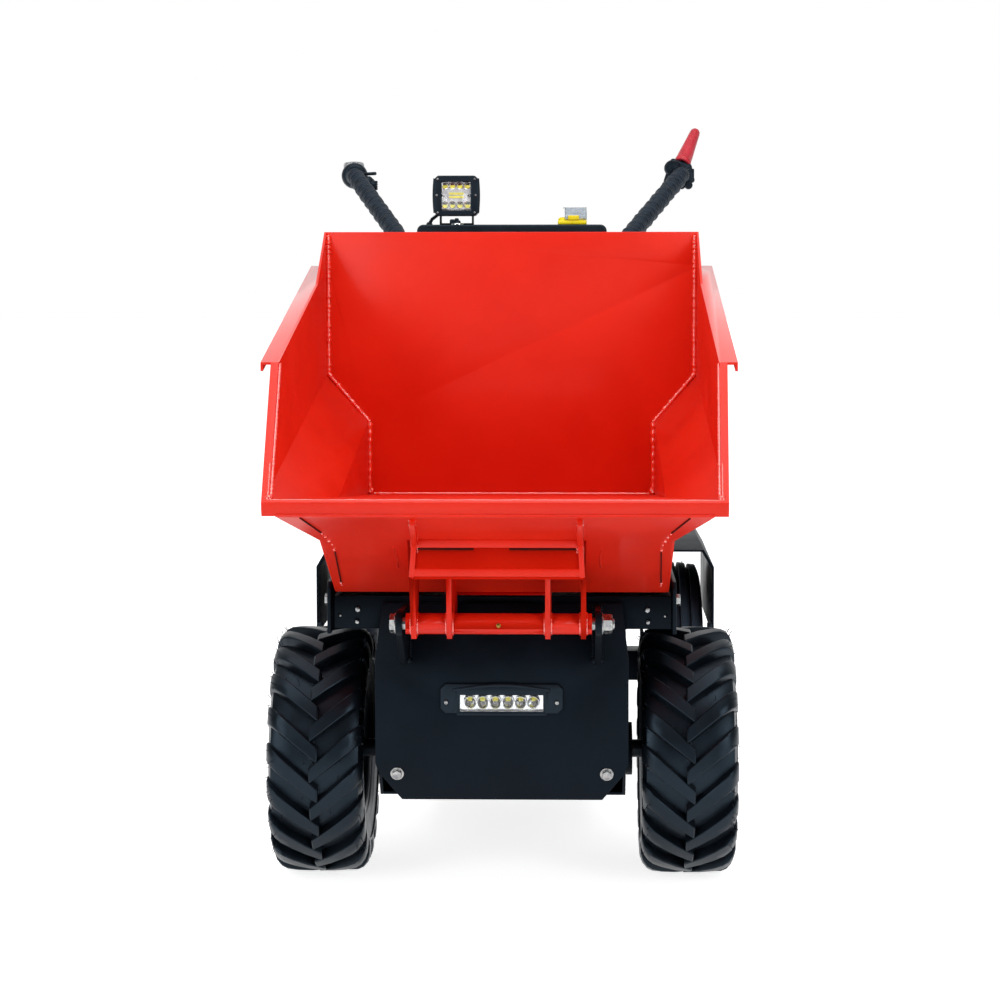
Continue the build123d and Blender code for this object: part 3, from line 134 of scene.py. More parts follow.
floor_mesh.materials.append(paper)

# Each soft box: its name, place, width and height in metres, power in watts, and what it points at.
SOFT_BOXES = (
    ("overhead", (0.0, -1.2, 3.6), 3.4, 2.6, 84, (0.0, -0.2, 0.6)),
    ("front_left", (-2.9, -4.2, 1.9), 1.8, 2.8, 66, (0.0, -0.3, 0.5)),
    ("front_right", (3.1, -4.1, 1.9), 1.8, 2.8, 66, (0.0, -0.3, 0.5)),
)
for name, at, width, height, power, target in SOFT_BOXES:
    light = bpy.data.lights.new(name, "AREA")
    light.shape = "RECTANGLE"
    light.size = width
    light.size_y = height
    light.energy = power
    soft_box = bpy.data.objects.new(name, light)
    soft_box.location = at
    soft_box.rotation_euler = (Vector(target) - Vector(at)).to_track_quat("-Z", "Y").to_euler()
    bpy.context.scene.collection.objects.link(soft_box)

# --- Lower box, deck and spine -------------------------------------------------------------------
# The chassis is welded from bent steel plate and powder coated satin black. The deck tray carries the
# skip's rubber strips, and a box beam runs back over the rear axle.
CHASSIS = "chassis"
DRIFT = (0.36, 0.64)            # the span of the noise that a finish drifts over


def finish(name, tones, patch, grain, depth, gloss, sockets=None):
    """New material: tone that drifts over patches, a grain in relief, and uneven gloss.

    Patch, grain and depth are in millimetres, tones are two sRGB colours and gloss two roughnesses. Sockets
    are numbers on the shader's own sockets.
    """
    made = bpy.data.materials.new(name)
    made.use_nodes = True
    tree = made.node_tree
    shader = tree.nodes["Principled BSDF"]
    for socket, value in (sockets or {}).items():
        shader.inputs[socket].default_value = value
    at = add(tree, "ShaderNodeTexCoord")
    drift = add(tree, "ShaderNodeTexNoise", {"Scale": 1 / (patch * MM), "Detail": 4.0, "Roughness": 0.55},
                {"Vector": at.outputs["Object"]})
    tone = add(tree, "ShaderNodeValToRGB", links={"Fac": drift.outputs["Fac"]})
    for end, code, stop in zip(tone.color_ramp.elements, tones, DRIFT):
        end.color = linear(code)
        end.position = stop
    tree.links.new(tone.outputs["Color"], shader.inputs["Base Color"])
    rough = add(tree, "ShaderNodeMapRange",
                {"From Min": DRIFT[0], "From Max": DRIFT[1], "To Min": gloss[0], "To Max": gloss[1]},
                {"Value": drift.outputs["Fac"]})
    tree.links.new(rough.outputs["Result"], shader.inputs["Roughness"])
    relief = add(tree, "ShaderNodeTexNoise", {"Scale": 1 / (grain * MM), "Detail": 2.0},
                 {"Vector": at.outputs["Object"]})
    bump = add(tree, "ShaderNodeBump", {"Strength": 1.0, "Distance": depth * MM},
               {"Height": relief.outputs["Fac"]})
    tree.links.new(bump.outputs["Normal"], shader.inputs["Normal"])
    return made


def piece(name, bm, body, look, smooth=38, normals=True):
    """Turns a bmesh drawn in millimetres into a piece that rides on a body."""
    bmesh.ops.scale(bm, vec=(MM, MM, MM), verts=bm.verts)
    if normals:
        bmesh.ops.recalc_face_normals(bm, faces=bm.faces)
    mesh = bpy.data.meshes.new(name)
    bm.to_mesh(mesh)
    bm.free()
    mesh.shade_smooth()
    mesh.set_sharp_from_angle(angle=radians(smooth))
    mesh.materials.append(look)
    made = bpy.data.objects.new(name, mesh)
    bpy.context.scene.collection.objects.link(made)
    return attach(made, body)


def soften(bm, edges, offset, steps=2, clamp=False):
    """Rounds edges with a bevel."""
    bmesh.ops.bevel(bm, geom=edges, offset=offset, offset_type="OFFSET", segments=steps, profile=0.5,
                    affect="EDGES", clamp_overlap=clamp, material=-1)


def creases(bm, angle):
    """The edges where two faces meet at more than an angle in degrees."""
    return [e for e in bm.edges if len(e.link_faces) == 2 and e.calc_face_angle(0) > radians(angle)]


def plates(node, soft, steps=2, angle=25):
    """A CAD node's mesh in millimetres, its flat faces whole again and its edges broken."""
    bm = bmesh.new()
    bm.from_mesh(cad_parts[node].data)
    bmesh.ops.scale(bm, vec=(1 / MM,) * 3, verts=bm.verts)
    bmesh.ops.remove_doubles(bm, verts=bm.verts, dist=0.01)
    bmesh.ops.dissolve_limit(bm, angle_limit=radians(0.6), verts=bm.verts, edges=bm.edges)
    if soft:
        soften(bm, creases(bm, angle), soft, steps, True)
    return bm


def eased(name, node, body, look, soft=0.9, steps=2, angle=25):
    """A CAD node with its edges broken, as a piece that stands for it."""
    made = piece(name, plates(node, soft, steps, angle), body, look, normals=False)
    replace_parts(made, node)
    return made


def corners(node):
    """Lowest and highest corner of a CAD node, in millimetres."""
    low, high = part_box(node)
    return low / MM, high / MM


def moved(bm, before, matrix):
    """Puts what was added since `before` in place."""
    bmesh.ops.transform(bm, matrix=matrix, verts=[v for v in bm.verts if v not in before])


def box(bm, x, y, z, soft=0.0, steps=2, turn=None):
    """Adds a box from three (low, high) pairs, with its edges rounded and turned about its middle."""
    before = set(bm.verts)
    made = bmesh.ops.create_cube(bm, size=1.0)
    bmesh.ops.scale(bm, vec=(x[1] - x[0], y[1] - y[0], z[1] - z[0]), verts=made["verts"])
    if soft:
        soften(bm, list({e for v in made["verts"] for e in v.link_edges}), soft, steps)
    middle = Matrix.Translation(((x[0] + x[1]) / 2, (y[0] + y[1]) / 2, (z[0] + z[1]) / 2))
    moved(bm, before, middle @ turn if turn else middle)


def along(start, end):
    """Matrix that lays +Z along the line from start to end, its origin at the start."""
    start = Vector(start)
    return Matrix.Translation(start) @ (Vector(end) - start).to_track_quat("Z", "Y").to_matrix().to_4x4()


def turned(bm, outline, start, end, steps=32):
    """Spins an outline of (height, radius) points round the line from start towards end."""
    before = set(bm.verts)
    verts = [bm.verts.new((r, 0.0, h)) for h, r in outline]
    edges = [bm.edges.new(pair) for pair in zip(verts, verts[1:])]
    bmesh.ops.spin(bm, geom=verts + edges, cent=(0, 0, 0), axis=(0, 0, 1), angle=2 * pi, steps=steps,
                   use_merge=True)
    new = [v for v in bm.verts if v not in before]
    bmesh.ops.remove_doubles(bm, verts=new, dist=0.001)
    moved(bm, before, along(start, end))


def rod(bm, start, end, radius, soft=0.6, steps=32):
    """Adds a round bar with broken ends."""
    long = (Vector(end) - Vector(start)).length
    turned(bm, [(0, 0), (0, radius - soft), (soft, radius), (long - soft, radius), (long, radius - soft),
                (long, 0)], start, end, steps)


def hexagon(bm, start, end, across, soft=1.0):
    """Adds a hexagon head or nut, its crown chamfered."""
    before = set(bm.verts)
    long = (Vector(end) - Vector(start)).length
    bmesh.ops.create_cone(bm, cap_ends=True, cap_tris=False, segments=6, radius1=across / sqrt(3),
                          radius2=across / sqrt(3), depth=long, matrix=Matrix.Translation((0, 0, long / 2)))
    top = [e for e in bm.edges if e.verts[0] not in before and min(v.co.z for v in e.verts) > long - 0.01]
    soften(bm, top, soft)
    moved(bm, before, along(start, end))


def bolt(bm, at, out, across=13.0, height=5.5, washer=9.0):
    """Adds a hexagon bolt on its washer, standing on a face at a point and looking out along a direction."""
    at = Vector(at)
    out = Vector(out).normalized()
    if washer:
        rod(bm, at - out * 0.5, at + out * 1.6, washer, 0.4, 24)
    hexagon(bm, at + out * 1.4, at + out * (1.4 + height), across)


def line_points(points, step):
    """Evenly spaced points along a line of points."""
    points = [Vector(p) for p in points]
    out = []
    for a, b in zip(points, points[1:]):
        count = max(1, round((b - a).length / step))
        out += [a.lerp(b, n / count) for n in range(count)]
    return out + [points[-1]]


def grid_points(bm, before):
    """The points of the flat grid that was added since `before`, column by column."""
    new = (v for v in bm.verts if v not in before)
    return sorted(new, key=lambda v: (round(v.co.x, 5), round(v.co.y, 5)))


def swept(bm, centres, radius, sides):
    """Adds a closed round skin along a line of centres. radius takes the distance run and the angle."""
    before = set(bm.verts)
    last = len(centres) - 1
    bmesh.ops.create_grid(bm, x_segments=last + 2, y_segments=sides, size=1.0)
    grid = grid_points(bm, before)
    run = 0.0
    side = None
    for n in range(last + 3):
        at = min(max(n - 1, 0), last)
        ahead = (centres[min(at + 1, last)] - centres[max(at - 1, 0)]).normalized()
        side = ahead.orthogonal() if side is None else side - ahead * side.dot(ahead)
        side = side.normalized()
        up = ahead.cross(side)
        open_row = at == n - 1
        run += (centres[at] - centres[at - 1]).length if open_row and at else 0.0
        for k in range(sides + 1):
            angle = 2 * pi * (k % sides) / sides
            reach = radius(run, angle) if open_row else 0.0
            grid[n * (sides + 1) + k].co = centres[at] + (side * cos(angle) + up * sin(angle)) * reach
    bmesh.ops.remove_doubles(bm, verts=grid, dist=0.0005)


def weld(bm, points, size=2.6, ripple=3.6, seed=1):
    """Adds a hand-laid weld bead along a line of points: overlapping scales, each a little different."""
    chance = random.Random(seed)
    sway = [chance.uniform(0.85, 1.15) for _ in range(4000)]

    def scale(run, angle):
        part, step = (run / ripple) % 1.0, int(run / ripple)
        return size * sway[step % 4000] * (0.80 + 0.30 * sin(pi * part) ** 0.6)

    swept(bm, line_points(points, ripple / 4), scale, 8)


# Powder coat is a baked polymer skin: satin and faintly blue-black, the blue cast of its sheen painted in as
# reflection, with orange peel of about a millimetre, drawn here at 5 mm so that it shows.
# Painted reflection: a cold blue tint on the sheen of black paint, rubber and plastic, for the bluish light
# that it reflects.
PAINTED_BLUE_SHEEN = (0.40, 0.58, 0.76, 1.0)    # the cold cast of the sheen on black paint and black rubber
black_coat = finish("satin_black_powder_coat", ("05080D", "0A1017"), 90, 5, 0.02, (0.40, 0.50),
                    {"Specular IOR Level": 0.17, "Specular Tint": PAINTED_BLUE_SHEEN})

eased("lower_box", "frame", CHASSIS, black_coat)
eased("deck_tray", "deck_frame", CHASSIS, black_coat)
eased("spine_beam", "spine", CHASSIS, black_coat)

box_high = corners("frame")[1]
deck_low, deck_high = corners("deck_frame")
spine_low, spine_high = corners("spine")
seams = bmesh.new()
for s in (-1, 1):
    weld(seams, [(s * spine_high.x, box_high.y + 1, spine_low.z),
                 (s * spine_high.x, box_high.y + 1, spine_high.z)], seed=3)
    weld(seams, [(s * box_high.x, deck_low.y + 60, box_high.z),
                 (s * box_high.x, box_high.y - 20, box_high.z)], seed=5)
piece("chassis_welds", seams, CHASSIS, black_coat)

# Zinc plate is bright, slightly milky metal with a soft grain from the barrel it was tumbled in.
zinc = finish("zinc_plated_steel", ("7E8084", "A9ABA8"), 6, 1.2, 0.01, (0.20, 0.34), {"Metallic": 1.0})

# Hexagon bolts hold the deck to its brackets, and one more shows outside each guide plate.
DECK_FACE_Y = deck_low.y + 50
deck_bolts = bmesh.new()
for s in (-1, 1):
    for x, z, wide in ((235, 466, 7.5), (236, 446, 6)):
        bolt(deck_bolts, (s * x, DECK_FACE_Y, z), (0, -1, 0), wide, 6, 0)
    bolt(deck_bolts, (s * 264, DECK_FACE_Y, 456), (0, -1, 0), 4, 3, 0)
    bolt(deck_bolts, (s * deck_high.x, deck_low.y + 48, 482), (s, 0, 0), 17, 7, 12)
    bolt(deck_bolts, (s * deck_high.x, deck_low.y + 250, 462), (s, 0, 0), 17, 7, 12)
piece("deck_bolts", deck_bolts, CHASSIS, zinc)

# Rubber strips take the skip's bottom. Moulded black rubber is matt, grey where it has been rubbed.
rubber = finish("moulded_black_rubber", ("0C1014", "171C22"), 40, 2, 0.08, (0.55, 0.72),
                {"Specular IOR Level": 0.35, "Specular Tint": PAINTED_BLUE_SHEEN})
eased("rest_strips", "rest_pads", CHASSIS, rubber, 1.5)

# The battery pack inside the box is a plain moulded case with a ribbed lid.
plastic = finish("black_moulded_abs", ("0C1015", "151A21"), 60, 1.6, 0.01, (0.36, 0.46),
                 {"Specular IOR Level": 0.34, "Specular Tint": PAINTED_BLUE_SHEEN})
battery = plates("battery_block", 6, 3)
cell_low, cell_high = corners("battery_block")
for n in range(5):
    x = cell_low.x + 60 + n * 60
    box(battery, (x, x + 20), (cell_low.y + 20, cell_high.y - 20), (cell_high.z - 1, cell_high.z + 4), 1.5)
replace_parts(piece("battery_pack", battery, CHASSIS, plastic), "battery_block")

# --- Front apron and flush lamp ------------------------------------------------------------------
# One bent black plate closes the front. Two bolts hold its lower facet, and a long flush lamp sits in it:
# a die-cast frame with a raised brow, six silvered reflectors and a clear cover.
APRON_FACE_Y = corners("front_apron")[0].y
TUCK = 14 / 61                  # how far the lower facet leans in for each millimetre down
CREASE_Z = 222                  # where the lower facet starts
BOLT_Z = 206
LAMP_Z = 322.5                  # middle of the flush lamp's window
BROW_HALF = 78
BROW_Z = 343.5                  # ends of the raised brow, and how far it arches
BROW_RISE = 8.5

eased("apron_plate", "front_apron", CHASSIS, black_coat, 1.2, 3)
apron_bolts = bmesh.new()
for s in (-1, 1):
    bolt(apron_bolts, (s * 169, APRON_FACE_Y + (CREASE_Z - BOLT_Z) * TUCK, BOLT_Z), (0, -1, -TUCK), 14, 6, 11)
piece("apron_bolts", apron_bolts, CHASSIS, zinc)

lamp = plates("front_light_housing", 1.2, 2)
brow = [(BROW_HALF - n * 13, BROW_Z + BROW_RISE * sin(pi * n / 12)) for n in range(13)]
strip = [Vector((x, APRON_FACE_Y - 4.5, z)) for x, z in brow]
swept(lamp, strip, lambda run, angle: 3.2, 12)
for s in (-1, 1):
    box(lamp, (s * 73 - 2.2, s * 73 + 2.2), (APRON_FACE_Y - 6.5, APRON_FACE_Y), (306, 341), 1.2)
box(lamp, (-72, 72), (APRON_FACE_Y - 6.5, APRON_FACE_Y), (302.8, 307.6), 1.2)
lamp_frame = piece("flush_lamp_frame", lamp, CHASSIS, plastic)
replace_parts(lamp_frame, "front_light_housing")

# Silvered reflectors are vacuum-metallised plastic: a mirror, a little softened by the lacquer over it.
silver = finish("metallised_reflector", ("D8DADC", "F2F4F5"), 5, 2, 0.01, (0.10, 0.20), {"Metallic": 1.0})
# The emitters are blocks of yellow phosphor in silicone, drawn with a faint painted glow of their own.
phosphor_painted_glow = finish("yellow_phosphor_glow_painted", ("D8D23A", "F4EC6A"), 3, 1, 0.02, (0.30, 0.40),
                  {"Emission Color": linear("F0E040"), "Emission Strength": 0.25})
# The pale tray round the reflectors is plain white moulded plastic.
tray_white = finish("white_moulded_plastic", ("C9CCD0", "E6E8EA"), 12, 2, 0.02, (0.25, 0.35))

reflectors = bmesh.new()
WELL_Y = APRON_FACE_Y - 1
box(reflectors, (-66, 66), (WELL_Y + 8, WELL_Y + 10), (309.5, 335.5), 0.4)
chips = bmesh.new()
domes = bmesh.new()
dome = [(4.5 * sin(a * pi / 12), 8.6 * cos(a * pi / 12)) for a in range(1, 6)]
for n in range(6):
    x = -50 + 20 * n
    cup = [(0, 0), (0, 3.0), (3, 6.4), (6.5, 8.6), (8.0, 9.4), (8.0, 9.9), (2, 9.9)]
    turned(reflectors, cup, (x, WELL_Y + 8, LAMP_Z), (x, WELL_Y - 2, LAMP_Z), 28)
    box(chips, (x - 2.4, x + 2.4), (WELL_Y + 6.2, WELL_Y + 7.9), (LAMP_Z + 0.6, LAMP_Z + 5.0), 0.3)
    turned(domes, [(0, 8.6)] + dome + [(4.5, 0)], (x, WELL_Y + 1.5, LAMP_Z), (x, WELL_Y - 4, LAMP_Z), 28)
piece("flush_lamp_reflectors", reflectors, CHASSIS, silver)
piece("flush_lamp_chips", chips, CHASSIS, phosphor_painted_glow)

# Clear polycarbonate covers: water-clear, IOR 1.58, with the faintest moulding ripple.
clear = finish("clear_polycarbonate", ("F6F8FA", "FFFFFF"), 30, 8, 0.01, (0.02, 0.05),
               {"Transmission Weight": 1.0, "IOR": 1.585})
piece("flush_lamp_domes", domes, CHASSIS, clear)
eased("lamp_covers", "lamp_lenses", CHASSIS, clear, 0.5)

lamp_screws = bmesh.new()
for s in (-1, 1):
    turned(lamp_screws, [(0, 4.0), (1.6, 3.8), (2.6, 2.9), (2.8, 1.7), (1.2, 1.5), (1.2, 0)],
           (s * 89, APRON_FACE_Y - 5.8, 324), (s * 89, APRON_FACE_Y - 9, 324), 20)
piece("flush_lamp_screws", lamp_screws, CHASSIS, zinc)

# --- Skip pivot ----------------------------------------------------------------------------------
# Two black ears on the apron hold a thick pin with a hexagon head at each end. The ears are welded at
# their feet.
ear_high = corners("pivot_ears")[1]
pin_low, pin_high = corners("pivot_pin")
PIVOT = Vector((0, (pin_low.y + pin_high.y) / 2, (pin_low.z + pin_high.z) / 2))
EAR_FOOT_Z = 392.0
ears = plates("pivot_ears", 0)
bmesh.ops.bisect_plane(ears, geom=ears.verts[:] + ears.edges[:] + ears.faces[:], plane_co=(0, 0, EAR_FOOT_Z),
                       plane_no=(0, 0, -1), clear_outer=True)
bmesh.ops.holes_fill(ears, edges=[e for e in ears.edges if e.is_boundary], sides=0)
soften(ears, creases(ears, 40), 1.4, 3, True)
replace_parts(piece("pivot_ear_plates", ears, CHASSIS, black_coat, normals=False), "pivot_ears")
pins = bmesh.new()
rod(pins, (-ear_high.x - 2, PIVOT.y, PIVOT.z), (ear_high.x + 2, PIVOT.y, PIVOT.z), 10, 1)
for s, head in ((-1, 10.5), (1, 17.0)):
    start = s * ear_high.x
    rod(pins, (start, PIVOT.y, PIVOT.z), (start + s * 2.5, PIVOT.y, PIVOT.z), 17, 0.8)
    hexagon(pins, (start + s * 2.4, PIVOT.y, PIVOT.z), (start + s * head, PIVOT.y, PIVOT.z), 27, 2.4)
rod(pins, (ear_high.x, PIVOT.y, PIVOT.z), (ear_high.x + 20, PIVOT.y, PIVOT.z), 8.5, 1.6)
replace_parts(piece("pivot_bolt", pins, CHASSIS, zinc), "pivot_pin")
ear_welds = bmesh.new()
for s in (-1, 1):
    for x in (ear_high.x - 11.5, ear_high.x + 1):
        weld(ear_welds, [(s * x, APRON_FACE_Y, EAR_FOOT_Z), (s * x, APRON_FACE_Y + 33, 472)], 3.0, 4.5, 11)
        weld(ear_welds, [(s * (x - 2), APRON_FACE_Y - 1, 388), (s * (x + 2), APRON_FACE_Y - 1, 393)],
             4.0, 4, 12)
piece("ear_welds", ear_welds, CHASSIS, black_coat)

# --- Drive axle ----------------------------------------------------------------------------------
# A cast axle tube with a round flange at each end carries the gear case, and an electric motor with
# cooling fins is bolted to its front.
hub_high = corners("front_axle_housing")[1]
front_tyre_low, front_tyre_high = corners("front_tyre_right")
FRONT_AXLE = Vector((0, (front_tyre_low.y + front_tyre_high.y) / 2, 205.5))
FRONT_X = (front_tyre_low.x + front_tyre_high.x) / 2
casting = finish("painted_casting", ("080B10", "11161D"), 30, 2.5, 0.25, (0.50, 0.62),
                 {"Specular IOR Level": 0.25, "Specular Tint": PAINTED_BLUE_SHEEN})
axle = plates("front_axle_housing", 1.2, 2, 40)
for s in (-1, 1):
    for n in range(6):
        turn = 2 * pi * n / 6
        at = Vector((s * (hub_high.x - 10), FRONT_AXLE.y + 37 * sin(turn), FRONT_AXLE.z + 37 * cos(turn)))
        bolt(axle, at, (-s, 0, 0), 10, 5, 0)
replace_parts(piece("drive_axle", axle, CHASSIS, casting, 30), "front_axle_housing")

# --- Electric lift -------------------------------------------------------------------------------
# A linear actuator tips the skip: a grey tube with its foot eye, and a bright ground rod whose eye holds
# the upper pin.
steel = finish("ground_steel", ("B4B6B8", "D4D6D8"), 25, 1.5, 0.01, (0.16, 0.26), {"Metallic": 1.0})
eased("lift_tube", "lift_body", "lift_body", casting, 1.2, 2, 40)
eased("lift_ram", "lift_rod", "lift_rod", steel, 0.6, 2, 40)

# --- Front tyres ---------------------------------------------------------------------------------
# Traction tyres, moulded in two halves, with two staggered rows of tall bars that meet in a V. Fresh from
# the mould they have a parting line round the middle and hairs where the rubber ran into the vents.
TYRE_R = FRONT_AXLE.z
TYRE_HALF = (front_tyre_high.x - front_tyre_low.x) / 2
ROOT_R = TYRE_R - 17
LUG_COUNT = 19
LUG_W = 27.0
LUG_LEAN = 73.0

# Tyre rubber: carbon black with a satin skin from the polished mould, its sheen tinted bluish as painted
# reflection where it catches light, and browner where it has bloomed.
tyre_rubber = finish("tyre_rubber", ("06090D", "0D1218"), 70, 3, 0.05, (0.30, 0.42),
                     {"Specular IOR Level": 0.42, "Specular Tint": PAINTED_BLUE_SHEEN})


def wheel_frame(x, axle):
    """Matrix from a wheel's own place, its axle along X, to where it stands."""
    return Matrix.Translation((x, axle.y, axle.z))


def spun(bm, section, steps):
    """Spins a closed section of (across, radius) points round the X axis."""
    before = set(bm.verts)
    verts = [bm.verts.new((x, 0.0, r)) for x, r in section]
    edges = [bm.edges.new(pair) for pair in zip(verts, verts[1:] + verts[:1])]
    bmesh.ops.spin(bm, geom=verts + edges, cent=(0, 0, 0), axis=(1, 0, 0), angle=2 * pi, steps=steps,
                   use_merge=True)
    bmesh.ops.remove_doubles(bm, verts=[v for v in bm.verts if v not in before], dist=0.001)


def round_about(x, run, radius, scale):
    """Point on a tyre: across, distance run round the tread at the given scale radius, and radius."""
    return Vector((x, -radius * sin(run / scale), radius * cos(run / scale)))


def tread_bar(bm, side, middle):
    """One tread bar: a sloping block with rounded edges that runs down over the shoulder."""
    #       across, top radius, foot across, foot radius
    path = [(-7, 184, -7, 178), (-7, 203.6, -7, 180), (-4.5, 205.4, -4.5, 180), (20, 205.3, 20, 180),
            (42, 204.6, 42, 180), (58, 203, 56, 178), (67, 199, 62, 174), (74, 191, 66, 168),
            (78, 180, 69, 163), (78.8, 166, 70, 156), (77.5, 152, 71, 149), (74, 149, 71, 147)]
    #          across the bar, share of its height
    shape = [(-0.60, 0.0), (-0.50, 0.86), (-0.46, 0.96), (-0.40, 1.0), (0.0, 1.0), (0.40, 1.0), (0.46, 0.96),
             (0.50, 0.86), (0.60, 0.0)]
    before = set(bm.verts)
    bmesh.ops.create_grid(bm, x_segments=len(path) - 1, y_segments=len(shape) - 1, size=1.0)
    grid = grid_points(bm, before)
    for i, (x, top, foot_x, foot) in enumerate(path):
        lean = LUG_LEAN * (min(x, 79) / 86 - 0.42)
        for k, (across, up) in enumerate(shape):
            wide = LUG_W * across * (1.0 + 0.004 * x)
            point = round_about(side * (foot_x + (x - foot_x) * up), middle - lean + wide,
                                foot + (top - foot) * up, TYRE_R)
            grid[i * len(shape) + k].co = point
    edges = [e for e in bm.edges if e.is_boundary and e.verts[0] not in before]
    bmesh.ops.holes_fill(bm, edges=edges, sides=0)


def hairs(bm, places, longest, seed):
    """Adds vent hairs: thin curved threads of rubber, from (root, direction) pairs."""
    chance = random.Random(seed)
    for root, out in places:
        length = longest * chance.uniform(0.35, 1.0)
        stray = Vector((chance.uniform(-1, 1), chance.uniform(-1, 1), chance.uniform(-1, 1))) * 0.55
        tip = root + (out + stray * 0.4).normalized() * length * 0.6
        end = tip + (out + stray).normalized() * length * 0.4
        swept(bm, [root - out, root, tip, end], lambda run, angle: 0.55, 4)


def carcass_section(half, root, bead_x, bead_r):
    """Right half of a front tyre's section, from the tread's middle to the bead, with its moulded rings."""
    return [(0.8, root + 0.8), (1.6, root), (half * 0.45, root - 0.5), (half * 0.76, root - 2.0),
            (half * 0.90, root - 7), (half * 0.955, root - 18), (half * 0.965, root - 32),
            (half * 0.985, root - 33), (half * 0.985, root - 37), (half * 0.955, root - 38),
            (half * 0.93, root - 52), (half * 0.90, root - 60), (half * 0.915, root - 61.5),
            (half * 0.90, root - 64), (bead_x + 3, bead_r + 12), (bead_x, bead_r + 8),
            (bead_x - 8.5, bead_r + 0.4)]


for side_name, s in (("right", 1), ("left", -1)):
    tyre = bmesh.new()
    half = carcass_section(TYRE_HALF, ROOT_R, 66.5, 101.6)
    spun(tyre, half + [(-x, r) for x, r in reversed(half)], 96)
    pitch = 2 * pi * TYRE_R / LUG_COUNT
    for row, lag in ((1, 0.0), (-1, 0.5)):
        for n in range(LUG_COUNT):
            tread_bar(tyre, row, (n + lag) * pitch + 18)
    chance = random.Random(40 + s)
    spots = []
    for n in range(260):
        row = chance.choice((-1, 1))
        run = chance.uniform(0, 2 * pi * TYRE_R)
        if n % 3:
            at = round_about(row * chance.uniform(66, 74), run, chance.uniform(188, 200), TYRE_R)
            out = Vector((row * 0.35, at.y / TYRE_R, at.z / TYRE_R))
        else:
            at = round_about(row * chance.uniform(4, 60), run, ROOT_R, TYRE_R)
            out = Vector((0, at.y / TYRE_R, at.z / TYRE_R))
        spots.append((at, out.normalized()))
    hairs(tyre, [p for p in spots if p[0].z > -150], 14, 7)
    # The parting line runs round the middle, with a small square vent mark beside it at each bar.
    ring = [round_about(0.0, 2 * pi * TYRE_R * n / 120, ROOT_R + 0.4, TYRE_R) for n in range(121)]
    swept(tyre, ring, lambda run, angle: 1.1, 6)
    for n in range(LUG_COUNT):
        before = set(tyre.verts)
        box(tyre, (-6, 6), (-6, 6), (ROOT_R - 1, ROOT_R + 1.4), 0.6)
        moved(tyre, before, Matrix.Translation((3 if n % 2 else -3, 0, 0)))
        moved(tyre, before, Matrix.Rotation((n + 0.32) * 2 * pi / LUG_COUNT, 4, "X"))
    bmesh.ops.transform(tyre, matrix=wheel_frame(s * FRONT_X, FRONT_AXLE), verts=tyre.verts)
    made = piece("front_tyre_" + side_name + "_rubber", tyre, "front_wheel_" + side_name, tyre_rubber,
                 32)
    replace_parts(made, "front_tyre_" + side_name)

# --- Front rims ----------------------------------------------------------------------------------
# Pressed steel rims, welded to a disc with five nuts, painted black. The hub's shaft runs into the axle.
wheel_coat = finish("black_wheel_enamel", ("080B10", "10151C"), 60, 4, 0.03, (0.34, 0.44),
                    {"Specular IOR Level": 0.3, "Specular Tint": PAINTED_BLUE_SHEEN, "Coat Weight": 0.15,
                     "Coat Roughness": 0.15})


def rim(side, x, axle, half, hub_in, shaft_in, nuts):
    """Rim, disc, hub cap and nuts of one wheel, the outside at +X before the side is applied."""
    bm = bmesh.new()
    out = half + 4
    section = [(-out, 109.6), (-out, 106), (-out + 6, 98), (-out + 16, 95.6), (4, 95.6), (2, 93), (4, 70),
               (12, 52), (12, 33), (-hub_in, 32), (-hub_in, 16), (40, 16), (40, 30), (38, 32), (20, 32.5),
               (20, 52), (12, 72), (11, 93), (14, 95.6), (out - 16, 95.6), (out - 6, 98), (out, 106),
               (out, 109.6), (out - 1.5, 109.4), (out - 4.5, 104.6), (out - 9, 101.6), (-out + 9, 101.6),
               (-out + 4.5, 104.6), (-out + 1.5, 109.4)]
    spun(bm, section, 72)
    turned(bm, [(0, 16.2), (1, 16), (1, 0)], (36, 0, 0), (41, 0, 0), 32)
    if shaft_in:
        rod(bm, (-hub_in + 2, 0, 0), (shaft_in, 0, 0), 15, 1)
    fixings = bmesh.new()
    for n in range(nuts):
        turn = 2 * pi * n / nuts
        bolt(fixings, (19.5, 43 * sin(turn), 43 * cos(turn)), (1, 0, 0), 17, 9, 11)
    turned(fixings, [(0, 27), (3, 26.5), (5.5, 23), (6, 0)], (38.5, 0, 0), (46, 0, 0), 36)
    for part in (bm, fixings):
        bmesh.ops.scale(part, vec=(side, 1, 1), verts=part.verts)
        bmesh.ops.transform(part, matrix=wheel_frame(side * x, axle), verts=part.verts)
    return bm, fixings


for side_name, s in (("right", 1), ("left", -1)):
    metal, fixings = rim(s, FRONT_X, FRONT_AXLE, 63, 60, 162 - FRONT_X, 5)
    made = piece("front_wheel_disc_" + side_name, metal, "front_wheel_" + side_name, wheel_coat,
                 40)
    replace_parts(made, "front_rim_" + side_name)
    piece("front_wheel_nuts_" + side_name, fixings, "front_wheel_" + side_name, zinc, 40)

